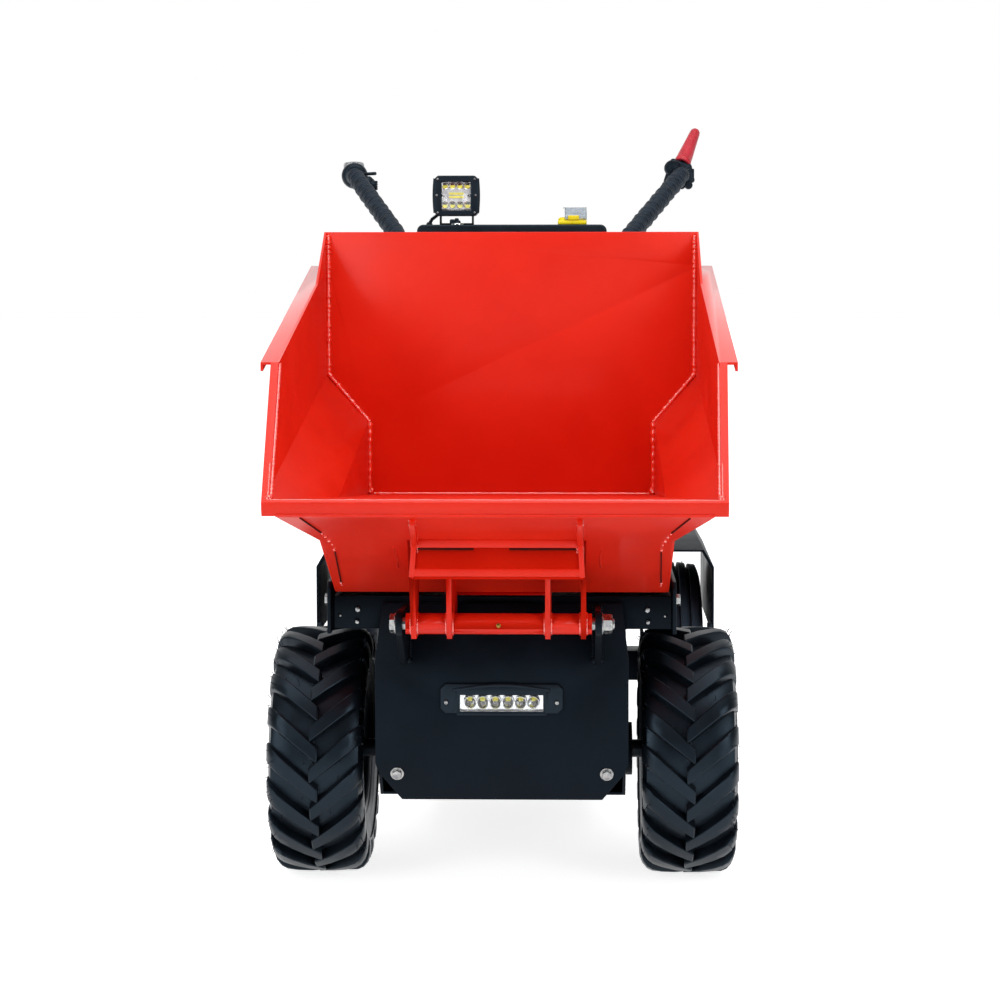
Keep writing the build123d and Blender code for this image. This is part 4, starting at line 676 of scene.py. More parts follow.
# --- Rear axle and mudguards ---------------------------------------------------------------------
# A square steel beam turns on a kingpin through a greased plate. It carries both rear wheels and, on
# straps, the bent-plate mudguards, each with a small clip on its front edge.
eased("steering_beam", "rear_axle_beam", "rear_axle", black_coat, 1.0, 2, 40)
eased("mudguards", "rear_fenders", "rear_axle", black_coat, 0.8)
guard_low, guard_high = corners("rear_fenders")
clips = bmesh.new()
for s in (-1, 1):
    x = s * (guard_high.x - 8)
    box(clips, (x - 5, x + 5), (guard_low.y - 1.5, guard_low.y + 14), (306, 322), 1.5)
    rod(clips, (x, guard_low.y - 4, 317), (x, guard_low.y + 4, 317), 2.2, 0.5, 12)
piece("mudguard_clips", clips, "rear_axle", plastic)
guard_bolts = bmesh.new()
for s in (-1, 1):
    for y in (-16, 16):
        bolt(guard_bolts, (s * 282, (guard_low.y + guard_high.y) / 2 + y, guard_high.z), (0, 0, 1), 13, 5, 9)
piece("mudguard_bolts", guard_bolts, "rear_axle", zinc)

# --- Rear tyres ----------------------------------------------------------------------------------
# Ribbed steering tyres: four flat ribs between narrow grooves, on a rounded carcass. Their rubber is drawn in
# a lighter blue-grey than that of the drive tyres, as painted light, and is duller.
rear_rubber_painted_light = finish("rear_tyre_rubber_painted_light", ("1C222B", "2A323D"), 60, 3, 0.05, (0.50, 0.62),
                    {"Specular IOR Level": 0.5, "Specular Tint": PAINTED_BLUE_SHEEN})
rear_low, rear_high = corners("rear_tyre_right")
REAR_AXLE = Vector((0, (rear_low.y + rear_high.y) / 2, (rear_low.z + rear_high.z) / 2))
REAR_X = (rear_low.x + rear_high.x) / 2
REAR_HALF = (rear_high.x - rear_low.x) / 2
REAR_R = (rear_high.z - rear_low.z) / 2
for side_name, s in (("right", 1), ("left", -1)):
    tyre = bmesh.new()
    half = []
    for near, far, crown in ((2.4, 18.5, 0.0), (23.5, 39.5, -3.0)):
        half += [(near, REAR_R - 8.5 + crown), (near + 0.8, REAR_R - 0.9 + crown), (near + 2, REAR_R + crown),
                 (far - 1.6, REAR_R - 1.5 + crown), (far, REAR_R - 2.6 + crown),
                 (far + 0.8, REAR_R - 10 + crown)]
    half[-1] = (44, REAR_R - 16)
    half += [(REAR_HALF * 0.96, REAR_R - 26), (REAR_HALF, REAR_R - 42), (REAR_HALF * 0.97, REAR_R - 56),
             (REAR_HALF * 0.99, REAR_R - 57.5), (REAR_HALF * 0.96, REAR_R - 60), (41, 117), (36.5, 109.9),
             (28.4, 102)]
    spun(tyre, half + [(-x, r) for x, r in reversed(half)], 96)
    chance = random.Random(90 + s)
    spots = []
    for n in range(90):
        row = chance.choice((-1, 1))
        at = round_about(row * chance.choice((8, 14, 30, 36)), chance.uniform(0, 2 * pi * REAR_R),
                         REAR_R - 3, REAR_R)
        spots.append((at, Vector((0, at.y, at.z)).normalized()))
    hairs(tyre, [p for p in spots if p[0].z > -150], 9, 5)
    bmesh.ops.transform(tyre, matrix=wheel_frame(s * REAR_X, REAR_AXLE), verts=tyre.verts)
    made = piece("rear_tyre_" + side_name + "_rubber", tyre, "rear_wheel_" + side_name, rear_rubber_painted_light,
                 32)
    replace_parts(made, "rear_tyre_" + side_name)
    metal, fixings = rim(s, REAR_X, REAR_AXLE, 33, 44, 0, 4)
    made = piece("rear_wheel_disc_" + side_name, metal, "rear_wheel_" + side_name, wheel_coat,
                 40)
    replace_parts(made, "rear_rim_" + side_name)
    piece("rear_wheel_nuts_" + side_name, fixings, "rear_wheel_" + side_name, zinc, 40)

# --- Skip ----------------------------------------------------------------------------------------
# The skip is folded and welded from 4 mm plate, with a creased bar along its lip and bars down the open
# edges of its sides, and sprayed orange-red. Its beads are hand laid and painted over.
SKIP = "skip"
lip_low, lip_high = corners("skip_rim")
back_high = corners("skip_back")[1]
LIP_Z = 658.0                   # underside of the slope at the lip
BEND_Y = -644.0                 # where the slope meets the flat bottom
BOTTOM_Z = 500.0
BACK_FACE_Y = back_high.y - 4
WALL_X = 339.5                  # inner faces of the upper and lower walls
TROUGH_X = 264.0
HIP_Z = 817.0                   # where the wall turns inwards, at the back
HIP_DROP = 84.0
FLOOR_Z = 600.0
RIM_TOP_Z = 682.0               # top of the lip bar
FLANGE_Y = -770.0               # front end of the side flanges

# Sprayed enamel over steel: saturated orange-red, satin with a thin clear shine that shows at low angles,
# and orange peel of 1 to 2 mm, drawn at 6 mm so that it shows.
red_coat = finish("orange_red_enamel", ("DA2009", "E2260D"), 160, 6, 0.006, (0.38, 0.46),
                  {"Specular IOR Level": 0.22, "Coat Weight": 0.12, "Coat Roughness": 0.16})
# The turned flanges were sprayed last and heaviest, so their coat is thicker and shinier.
heavy_coat = finish("heavy_enamel_coat", ("DA2009", "E2260D"), 160, 6, 0.004, (0.38, 0.46),
                    {"Coat Weight": 1.0, "Coat Roughness": 0.10})
# The same enamel lies thicker still over the beads, drawn there in a lighter tone as painted highlight.
bead_coat_painted_highlight = finish("enamel_over_weld_painted_highlight", ("EA240C", "F23A20"), 12, 3, 0.02, (0.18, 0.26),
                   {"Coat Weight": 1.0, "Coat Roughness": 0.04, "Coat IOR": 1.9})
# Open joints hold shadow and a little dark dust.
joint = finish("open_joint_shadow", ("2A0604", "4A0D08"), 20, 4, 0.05, (0.7, 0.8),
               {"Specular IOR Level": 0.1})

bars = eased("skip_lip_and_edge_bars", "skip_rim", SKIP, red_coat, 3.0, 4)
# The edge bars were bent out at their tops, to lap the outside of the walls under the flanges.
BAR_BEND = 9.0
for v in bars.data.vertices:
    rise = (v.co.z / MM - RIM_TOP_Z) / (lip_high.z - RIM_TOP_Z)
    if rise > 0:
        v.co.x += (1 if v.co.x > 0 else -1) * BAR_BEND * rise * MM
for node in ("skip_side_right", "skip_side_left", "skip_back", "skip_floor", "skip_underpan"):
    plate = eased(node.replace("skip_", "skip_plate_"), node, SKIP, red_coat, 1.0)
    if "side" in node:
        plate.data.materials.append(heavy_coat)
        for face in plate.data.polygons:
            if face.normal.z > 0.3 and abs(face.center.x) > (WALL_X + 5) * MM:
                face.material_index = 1


def under_slope(x, y, drop=0.0):
    """Point on the under face of the front slope, or this far below it."""
    return Vector((x, y, BOTTOM_Z + (BEND_Y - y) * (LIP_Z - BOTTOM_Z) / (BEND_Y - lip_low.y) - drop))


def slab(bm, start, end, across, wide, thick, soft=0.0, steps=2):
    """Adds a flat bar from start to end, its width along `across` and its thickness at right angles."""
    before = set(bm.verts)
    start, end, across = Vector(start), Vector(end), Vector(across)
    run = (end - start).normalized()
    side = (across - run * run.dot(across)).normalized()
    made = bmesh.ops.create_cube(bm, size=1.0)
    bmesh.ops.scale(bm, vec=((end - start).length, wide, thick), verts=made["verts"])
    if soft:
        soften(bm, list({e for v in made["verts"] for e in v.link_edges}), soft, steps)
    turn = Matrix((run, side, run.cross(side))).transposed().to_4x4()
    moved(bm, before, Matrix.Translation((start + end) / 2) @ turn)


def dab(bm, at, radius, squash=0.7, seed=1):
    """Adds a tack weld: a small rounded drop, a little uneven."""
    before = set(bm.verts)
    bmesh.ops.create_uvsphere(bm, u_segments=12, v_segments=8, radius=radius)
    chance = random.Random(seed)
    for v in bm.verts:
        if v not in before:
            v.co = Vector((v.co.x, v.co.y * squash, v.co.z)) * chance.uniform(0.9, 1.1)
    moved(bm, before, Matrix.Translation(at))


inner_beads = bmesh.new()
for s in (-1, 1):
    hip = Vector((s * (WALL_X - 3), BACK_FACE_Y - 3, HIP_Z + 4))
    ankle = Vector((s * (TROUGH_X - 2), BACK_FACE_Y - 3.5, HIP_Z - HIP_DROP))
    weld(inner_beads, [(hip.x, hip.y, back_high.z - 6), hip], 5.0, 9, 21)
    weld(inner_beads, [hip, ankle], 4.4, 8, 22)
    weld(inner_beads, [ankle, (ankle.x, ankle.y, FLOOR_Z + 3)], 5.6, 14, 23)
    dab(inner_beads, hip, 5.6, 0.6, 3)
    dab(inner_beads, (ankle.x - s * 2, ankle.y, FLOOR_Z + 5), 7, 0.6, 4)
    corner = Vector((s * (lip_high.x - 10), lip_low.y + 8, RIM_TOP_Z + 1))
    dab(inner_beads, corner, 6.5, 0.8, 5)
    foot = Vector((s * (lip_high.x - 13), lip_low.y + 12, RIM_TOP_Z + 4))
    top = Vector((s * (lip_high.x - 13 + BAR_BEND), FLANGE_Y + 8, lip_high.z - 4))
    weld(inner_beads, [foot, top], 3.0, 8, 25)
    weld(inner_beads, [foot + Vector((s * 4, -4, 2)), top + Vector((s * 4, -8, -6))], 1.4, 9, 26)
# The bar's upper edge carries one long run of bead against the slope.
weld(inner_beads, [(10 - lip_high.x, lip_low.y + 5, RIM_TOP_Z - 0.6),
                   (lip_high.x - 10, lip_low.y + 5, RIM_TOP_Z - 0.6)], 1.7, 22, 27)
weld(inner_beads, [(-TROUGH_X, BACK_FACE_Y, FLOOR_Z - 0.5), (TROUGH_X, BACK_FACE_Y, FLOOR_Z - 0.5)],
     2.6, 14, 24)
piece("skip_inner_welds", inner_beads, SKIP, bead_coat_painted_highlight, 50)

# Under the slope the joint to the side plates is tacked, and stays open between the tacks.
seams = bmesh.new()
tacks = bmesh.new()
for s in (-1, 1):
    slab(seams, under_slope(s * 286.5, -951, 0.9), under_slope(s * 262, -894.5, 0.9), (1, 0, 0), 2.0, 1.6)
    slab(seams, under_slope(s * 249.6, -817, 0.9), under_slope(s * 254, -689, 0.9), (1, 0, 0), 2.0, 1.6)
    for n, (x, y) in enumerate(((261, -890), (257, -878), (253.5, -862), (250.5, -846), (249.5, -826),
                                (254, -686), (254, -676))):
        dab(tacks, under_slope(s * x, y, 0.4), 1.7 + 0.5 * (n % 3), 0.9, 30 + n)
    weld(tacks, [under_slope(s * 158, -834, 0.3), under_slope(s * 155.5, -790, 0.3),
                 under_slope(s * 158, -752, 0.3)], 1.2, 9, 31)

# Ribs carry the two outer hangers up to the lip, and the channel between them is folded at its lower edge.
HANGER_X = 131.0
INNER_X = 76.0
CHANNEL_Y = -863.0
CHANNEL_TOP = under_slope(0, CHANNEL_Y).z
eased("skip_hanger_plates", "skip_hangers", SKIP, red_coat, 1.6, 3, 35)
RIB_X = {-1: (-122, -124.5), 1: (125, 125.5)}   # where each rib leaves the lip, and meets the channel
ribs = bmesh.new()
for s in (-1, 1):
    slab(ribs, under_slope(RIB_X[s][0], lip_low.y + 8, 5), under_slope(RIB_X[s][1], CHANNEL_Y - 2, 5),
         (1, 0, 0), 8, 11, 1.0)
    slab(ribs, (RIB_X[s][1], CHANNEL_Y - 1, CHANNEL_TOP + 2),
         (s * (HANGER_X - 2), CHANNEL_Y - 1, CHANNEL_TOP - 56), (1, 0, 0), 8, 7, 1.0)
box(ribs, (-HANGER_X, HANGER_X), (CHANNEL_Y - 3, CHANNEL_Y + 3), (CHANNEL_TOP - 11, CHANNEL_TOP + 1), 1.2)
box(ribs, (-HANGER_X + 3, HANGER_X - 3), (CHANNEL_Y - 4, CHANNEL_Y + 6),
    (CHANNEL_TOP - 55, CHANNEL_TOP - 42), 3.2, 4)
piece("hanger_ribs_and_channel_lip", ribs, SKIP, red_coat)
for low, high in ((-119, -35), (19, 119)):
    box(seams, (low, high), (CHANNEL_Y - 1.2, CHANNEL_Y + 1), (CHANNEL_TOP - 14.5, CHANNEL_TOP - 11.5), 0.3)
piece("open_joints", seams, SKIP, joint)
for s in (-1, 1):
    for side in (-1, 1):
        weld(tacks, [under_slope(RIB_X[s][0] + side * 4.5, lip_low.y + 12),
                     under_slope(RIB_X[s][1] + side * 4.5, CHANNEL_Y - 2)], 1.4, 6, 41)
        weld(tacks, [(RIB_X[s][1] + side * 4.2, CHANNEL_Y + 1, CHANNEL_TOP - 10),
                     (RIB_X[s][1] + side * 4.6, CHANNEL_Y + 2, CHANNEL_TOP - 30)], 1.6, 5, 45)
        for x in (HANGER_X, INNER_X):
            ring = [Vector((s * x + side * 5, PIVOT.y + 16.5 * sin(pi * n / 9),
                            PIVOT.z + 16.5 * cos(pi * n / 9))) for n in range(19)]
            weld(tacks, ring, 1.9, 6, 43)
    for side in (-1, 1):
        dab(tacks, (s * INNER_X + side * 4.5, CHANNEL_Y + 24, CHANNEL_TOP - 60), 2.4, 0.9, 44)
piece("skip_outer_welds", tacks, SKIP, bead_coat_painted_highlight, 50)

# A brass grease nipple sits in the front of the pivot tube.
brass = finish("brass", ("7A5F2A", "A08440"), 3, 1, 0.01, (0.24, 0.36), {"Metallic": 1.0})
nipple = bmesh.new()
hexagon(nipple, (0, PIVOT.y - 15, PIVOT.z), (0, PIVOT.y - 18.4, PIVOT.z), 6.5, 0.6)
turned(nipple, [(0, 2.2), (1.5, 1.6), (2, 1.6), (3, 2.2), (4, 1.8), (4.4, 0)], (0, PIVOT.y - 18.4, PIVOT.z),
       (0, PIVOT.y - 23, PIVOT.z), 16)
piece("grease_nipple", nipple, SKIP, brass)

# --- Step at the back ----------------------------------------------------------------------------
# The driver stands on a pressed tread plate with raised lozenges, on two cranked arms bolted to the spine.
TREAD_Z = 215.0
TREAD_FRONT = 668.0
step = plates("rear_platform", 1.0)
for row in range(11):
    for column in range(16):
        x = (column - 7.5) * 25
        y = TREAD_FRONT + 18 + row * 25
        lean = 0.6 if (row + column) % 2 else -0.6
        box(step, (x - 10, x + 10), (y - 2.6, y + 2.6), (TREAD_Z - 1, TREAD_Z + 1.6), 1.2, 1,
            Matrix.Rotation(lean, 4, "Z"))
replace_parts(piece("rear_step", step, CHASSIS, black_coat, normals=False), "rear_platform")
step_bolts = bmesh.new()
for s in (-1, 1):
    for y, z in ((600, 400), (625, 372)):
        bolt(step_bolts, (s * 135.5, y, z), (s, 0, 0), 17, 7, 11)
piece("step_bolts", step_bolts, CHASSIS, zinc)

# --- Steering mast and console -------------------------------------------------------------------
# The mast carries the console and the head tube that the column turns in. The console is a moulded black
# ABS case with a lid, held by screws, and a gauge window on the driver's side.
eased("mast_and_head_tube", "steering_mast", CHASSIS, black_coat, 1.2, 2, 40)
case_low, case_high = corners("console_box")
case = plates("console_box", 4.0, 4, 40)
box(case, (case_low.x - 0.8, case_high.x + 0.8), (case_high.y - 34, case_high.y - 31),
    (case_low.z + 8, case_high.z - 9), 0.8)
box(case, (-60, 60), (case_high.y - 1, case_high.y + 3), (case_low.z + 42, case_low.z + 92), 2.0, 3)
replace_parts(piece("console_case", case, CHASSIS, plastic, normals=False), "console_box")
gauge = bmesh.new()
box(gauge, (-50, 50), (case_high.y + 2, case_high.y + 3.6), (case_low.z + 50, case_low.z + 84), 1.0)
dark_glass = finish("smoked_acrylic", ("08090B", "0E1012"), 30, 4, 0.005, (0.08, 0.12),
                    {"Coat Weight": 1.0, "Coat Roughness": 0.03})
piece("console_gauge_window", gauge, CHASSIS, dark_glass)
case_screws = bmesh.new()
for x in (case_low.x + 14, case_high.x - 14):
    for z in (case_low.z + 14, case_high.z - 16):
        turned(case_screws, [(0, 4.2), (1.4, 4.0), (2.2, 3.0), (2.4, 1.6), (1.2, 1.4), (1.2, 0)],
               (x, case_high.y - 0.5, z), (x, case_high.y + 4, z), 18)
piece("console_screws", case_screws, CHASSIS, zinc)

# --- Work lamp -----------------------------------------------------------------------------------
# A square die-cast work lamp stands on a thin U bracket. Its frame is held by six screws, and behind the
# clear cover are two rows of four reflector cups with two bar emitters between them.
lamp_low, lamp_high = corners("work_light_housing")
LAMP_X = (lamp_low.x + lamp_high.x) / 2
WINDOW_Z = 1150.5
CUP_PITCH = 13.7
CUP_ROWS = (1168.3, 1132.7)     # heights of the two rows
EMITTER_ROWS = (1153.4, 1147.2)
TRAY_Z = (1125.5, 1175.5)       # the tray, from its lower to its upper edge
lamp = plates("work_light_housing", 2.6, 4, 40)
for n in range(7):
    x = lamp_low.x + 9 + n * 10.8
    box(lamp, (x - 1.6, x + 1.6), (lamp_high.y - 2, lamp_high.y + 7), (lamp_low.z + 9, lamp_high.z - 9), 0.8)
for s in (-1, 1):
    cheek = [(LAMP_X + s * (38.6 + 1.6 * sin(pi * n / 12)), lamp_low.y + 5, lamp_low.z + 6 + n * 5.3)
             for n in range(13)]
    swept(lamp, line_points(cheek, 20), lambda run, angle: 4.2, 12)
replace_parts(piece("work_lamp_case", lamp, CHASSIS, plastic, normals=False),
            "work_light_housing")
lamp_parts = bmesh.new()
cups = bmesh.new()
bars = bmesh.new()
notches = bmesh.new()
CUP_Y = lamp_low.y + 3.5
box(lamp_parts, (LAMP_X - 26.5, LAMP_X + 26.5), (CUP_Y + 2.4, CUP_Y + 7), TRAY_Z, 0.6)
for column in (-1.5, -0.5, 0.5, 1.5):
    for z in CUP_ROWS:
        x = LAMP_X + column * CUP_PITCH
        turned(cups, [(0, 0), (0, 4.6), (3.2, 6.2), (3.4, 6.7), (0.5, 6.7)], (x, CUP_Y + 3, z),
               (x, CUP_Y, z), 24)
        turned(bars, [(0, 4.3), (0.8, 3.9), (1.0, 0)], (x, CUP_Y + 2.2, z - 1.6), (x, CUP_Y, z - 1.6), 20)
        box(notches, (x - 3.4, x + 3.4), (CUP_Y + 0.7, CUP_Y + 1.9), (z + 0.6, z + 4.6), 1.2)
for z in EMITTER_ROWS:
    box(bars, (LAMP_X - 13.5, LAMP_X + 13.5), (CUP_Y + 1.4, CUP_Y + 2.6), (z - 2.0, z + 2.0), 0.4)
for s in (-1, 1):
    box(notches, (LAMP_X + s * 23.5 - 3, LAMP_X + s * 23.5 + 3), (CUP_Y + 0.6, CUP_Y + 2.6),
        (1147.5, 1152.5), 0.6)
piece("work_lamp_tray", lamp_parts, CHASSIS, tray_white)
piece("work_lamp_cups", cups, CHASSIS, silver)
piece("work_lamp_emitters", bars, CHASSIS, phosphor_painted_glow)
piece("work_lamp_shades", notches, CHASSIS, dark_glass)
lamp_screws = bmesh.new()
for s in (-1, 1):
    for z in (lamp_low.z + 6.5, WINDOW_Z, lamp_high.z - 6.5):
        x = LAMP_X + s * (34.5 if z != WINDOW_Z else 36.2)
        turned(lamp_screws, [(0, 2.1), (0.8, 2.0), (1.3, 1.5), (1.4, 0.8), (0.6, 0.7), (0.6, 0)],
               (x, lamp_low.y + 0.6, z), (x, lamp_low.y - 3, z), 16)
piece("work_lamp_screws", lamp_screws, CHASSIS, zinc)

bracket = bmesh.new()
foot_low, foot_high = corners("work_light_bracket")
middle_y = (foot_low.y + foot_high.y) / 2
box(bracket, (LAMP_X - 31.5, LAMP_X + 31.5), (middle_y - 11, middle_y + 11), (foot_low.z, foot_low.z + 3),
    0.8)
for s in (-1, 1):
    box(bracket, (LAMP_X + s * 30 - 1.6, LAMP_X + s * 30 + 1.6), (middle_y - 11, middle_y + 11),
        (foot_low.z, lamp_low.z + 2), 0.8)
hexagon(bracket, (LAMP_X, middle_y, foot_low.z + 3), (LAMP_X, middle_y, foot_low.z + 8), 13)
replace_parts(piece("work_lamp_bracket", bracket, CHASSIS, black_coat), "work_light_bracket")

# The lead is a black ribbed conduit from the lamp's corner into the console's lid, held at both ends.
LEAD_X = -155.6                 # where it enters the console
LEAD_Y = lamp_high.y - 12
bend = [(LAMP_X - 36, LEAD_Y, lamp_low.z + 3), (LAMP_X - 41, LEAD_Y, lamp_low.z - 1),
        (-150.5, LEAD_Y, 1106.5), (-154.3, LEAD_Y, 1100), (LEAD_X, LEAD_Y, case_high.z - 2)]
conduit = bmesh.new()
swept(conduit, line_points(bend, 0.9), lambda run, angle: 3.2 + 0.5 * sin(2 * pi * run / 3.2), 14)
turned(conduit, [(0, 6), (3, 6), (4.5, 4.5), (6, 4)], (LEAD_X, LEAD_Y, case_high.z - 1),
       (LEAD_X, LEAD_Y, case_high.z + 9), 20)
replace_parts(piece("work_lamp_lead", conduit, CHASSIS, rubber), "work_light_lead")

# --- Key and emergency switch --------------------------------------------------------------------
# A key barrel with a chromed ring and a moulded key head, and beside it the stop switch: a yellow moulded
# base with two lobes and a paddle, under a clear hinged cover.
chrome = finish("bright_chrome", ("D4D6D8", "ECEDEE"), 20, 3, 0.004, (0.06, 0.12), {"Metallic": 1.0})
key_low, key_high = corners("key_switch")
KEY_X, KEY_Y = (key_low.x + key_high.x) / 2, (key_low.y + key_high.y) / 2
BARREL_X = KEY_X + 6
barrel = bmesh.new()
turned(barrel, [(0, 12), (1.6, 12), (2.6, 11), (2.6, 8.2), (1.4, 7.6), (1.4, 0)],
       (BARREL_X, KEY_Y, key_low.z), (BARREL_X, KEY_Y, key_low.z + 9), 32)
piece("key_ring", barrel, CHASSIS, chrome)
key = bmesh.new()
turned(key, [(0, 6.5), (4, 6.5), (5, 5.5), (5, 0)], (BARREL_X, KEY_Y, key_low.z + 1),
       (BARREL_X, KEY_Y, key_low.z + 9), 24)
box(key, (KEY_X - 8, KEY_X + 2), (KEY_Y - 6, KEY_Y + 3), (key_low.z, key_low.z + 10), 3.0, 3)
box(key, (KEY_X + 1, KEY_X + 9), (KEY_Y - 3, KEY_Y + 3), (key_low.z + 4, key_low.z + 12), 2.4, 3)
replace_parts(piece("key_head", key, CHASSIS, plastic), "key_switch")

yellow = finish("yellow_moulded_abs", ("E6CC00", "F0DA0A"), 30, 2, 0.02, (0.25, 0.35))
stop_low, stop_high = corners("emergency_switch")
base = bmesh.new()
box(base, (stop_low.x, stop_high.x), (stop_low.y, stop_high.y), (stop_low.z, stop_low.z + 8), 2.5, 3)
for x in (stop_low.x + 9.5, stop_high.x - 9.5):
    for y in (stop_low.y + 10, stop_high.y - 10):
        turned(base, [(0, 9), (9, 9), (12, 7.8), (13.6, 5), (14, 0)], (x, y, stop_low.z),
               (x, y, stop_low.z + 14), 28)
box(base, (stop_low.x + 6, stop_high.x - 6), (stop_low.y + 4, stop_high.y - 4),
    (stop_low.z + 4, stop_low.z + 12), 2.0)
box(base, (stop_low.x + 19, stop_low.x + 40), (stop_low.y - 1, stop_low.y + 14),
    (stop_low.z + 8, stop_high.z - 1), 2.0, 3)
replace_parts(piece("stop_switch_base", base, CHASSIS, yellow), "emergency_switch")
stop_red = finish("red_moulded_abs", ("A81414", "B81A18"), 30, 2, 0.02, (0.25, 0.35))
button = bmesh.new()
BUTTON_X, BUTTON_Y = (stop_low.x + stop_high.x) / 2 + 6, stop_high.y - 18
turned(button, [(0, 9), (3, 9.6), (5, 8.4), (6, 0)], (BUTTON_X, BUTTON_Y, stop_low.z + 11),
       (BUTTON_X, BUTTON_Y, stop_low.z + 20), 28)
piece("stop_button", button, CHASSIS, stop_red)
# The flip cover is clear PVC, slightly smoky along its cut edges.
cover_clear = finish("clear_pvc_cover", ("C9D2DA", "DDE4EA"), 12, 6, 0.02, (0.06, 0.12),
                     {"Transmission Weight": 0.86, "IOR": 1.5})
COVER_WALL = 1.8
cover = bmesh.new()
cover_low, cover_high = corners("emergency_cover")
walls = (((cover_low.x, cover_low.x + COVER_WALL), (stop_low.y, stop_high.y)),
         ((stop_high.x - COVER_WALL, stop_high.x), (stop_low.y, stop_high.y)),
         ((cover_low.x + 1, stop_high.x - 1), (stop_low.y, stop_low.y + COVER_WALL)),
         ((cover_low.x + 1, stop_high.x - 1), (stop_high.y - COVER_WALL, stop_high.y)))
for x, y in walls:
    box(cover, x, y, (stop_low.z + 9, cover_high.z - 0.2), 0.7)
box(cover, (cover_low.x - 3, cover_low.x + 2), (stop_low.y, stop_high.y),
    (cover_high.z - 2, cover_high.z - 0.2), 0.7)
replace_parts(piece("stop_switch_cover", cover, CHASSIS, cover_clear), "emergency_cover")

# --- Handlebar -----------------------------------------------------------------------------------
# Two arms of bent steel tube stand on a square cross bar at the top of the column. They are wrapped in
# black tape wound in overlapping turns, and end in ribbed rubber grips.
BAR = "handlebar"
COLUMN_Y = 63.0
CROSS_Z = 940.0
COLLAR_Z = 906                  # foot of the collar under the cross bar
ARM_X = 214.0
ELBOW_Z = 1066.0
BEND = Vector((332, 357, 1200))
GRIP_END = Vector((342, 501, 1204))
BAR_R = 12.5
bar_low = corners("handlebar_tube")[0]


def rounded(points, radius, step=4.0):
    """Evenly spaced points along a bent tube: straight runs with arcs of this radius between them."""
    out = [Vector(points[0])]
    for before, at, after in zip(points, points[1:], points[2:]):
        at = Vector(at)
        back, ahead = (Vector(before) - at).normalized(), (Vector(after) - at).normalized()
        half = back.angle(ahead) / 2
        start, end = at + back * radius / tan(half), at + ahead * radius / tan(half)
        middle = at + (back + ahead).normalized() * radius / sin(half)
        count = 10
        for n in range(count + 1):
            spoke = (start - middle).slerp(end - middle, n / count)
            out.append(middle + spoke.normalized() * radius)
    out.append(Vector(points[-1]))
    return line_points(out, step)


tubes = bmesh.new()
arms = {}
for s in (-1, 1):
    route = [(s * ARM_X, COLUMN_Y, CROSS_Z), (s * ARM_X, COLUMN_Y, ELBOW_Z), (s * BEND.x, BEND.y, BEND.z),
             (s * GRIP_END.x, GRIP_END.y, GRIP_END.z)]
    arms[s] = rounded(route, 45)
    swept(tubes, arms[s], lambda run, angle: BAR_R, 24)
box(tubes, (-ARM_X - 13, ARM_X + 13), (COLUMN_Y - 13, COLUMN_Y + 13), (CROSS_Z - 13, CROSS_Z + 13), 2.5, 3)
rod(tubes, (0, COLUMN_Y, bar_low.z), (0, COLUMN_Y, CROSS_Z), 15, 1)
rod(tubes, (0, COLUMN_Y, COLLAR_Z), (0, COLUMN_Y, CROSS_Z), 30, 2)
for s in (-1, 1):
    ring = [Vector((s * ARM_X + 13.4 * cos(2 * pi * n / 16), COLUMN_Y + 13.4 * sin(2 * pi * n / 16),
                    CROSS_Z + 13)) for n in range(17)]
    weld(tubes, ring, 2.2, 5, 61)
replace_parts(piece("bar_tubes", tubes, BAR, black_coat), "handlebar_tube")

# Self-fusing rubber tape: matt, blue-black, each turn's edge standing over the one before.
tape = finish("black_rubber_tape", ("0C1119", "1A222D"), 14, 2, 0.10, (0.45, 0.60),
              {"Specular IOR Level": 0.36, "Specular Tint": PAINTED_BLUE_SHEEN})
WRAP_R = 14.4
WRAP_PITCH = 35.0
wraps = bmesh.new()
for s in (-1, 1):
    path = arms[s]
    first = next(n for n, p in enumerate(path) if p.z > ELBOW_Z - 30)
    last = next(n for n, p in enumerate(path) if p.y > BEND.y + 6)
    fine = line_points(path[first:last], 1.2)

    def wound(run, angle, s=s):
        turn = (run / WRAP_PITCH - s * angle / (2 * pi)) % 1.0
        crease = 0.35 * sin(run * 0.9 + 3 * angle) + 0.35 * sin(run * 0.43 - 2 * angle)
        step_up = 1.0 if turn < 0.92 else (1.0 - turn) / 0.08
        return WRAP_R + 4.0 * (turn * (1.35 - 0.35 * turn)) * step_up + crease

    swept(wraps, fine, wound, 40)
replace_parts(piece("tape_wraps", wraps, BAR, tape, 50), "bar_wraps")

grips = bmesh.new()
for s in (-1, 1):
    elbow = Vector((s * BEND.x, BEND.y, BEND.z))
    tip = Vector((s * GRIP_END.x, GRIP_END.y, GRIP_END.z))
    start, end = elbow.lerp(tip, 0.24), elbow.lerp(tip, 1.05)
    fine = line_points([start, end], 1.0)
    long = (end - start).length

    def ribbed(run, angle, long=long):
        ends = min(1.0, run / 3, (long - run) / 3 + 0.3)
        flange = 3.0 * (run < 5)
        return (15.2 + 1.0 * (0.5 + 0.5 * sin(2 * pi * run / 7)) ** 2 + flange) * (0.75 + 0.25 * ends)

    swept(grips, fine, ribbed, 28)
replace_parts(piece("ribbed_grips", grips, BAR, rubber, 50), "bar_grips")

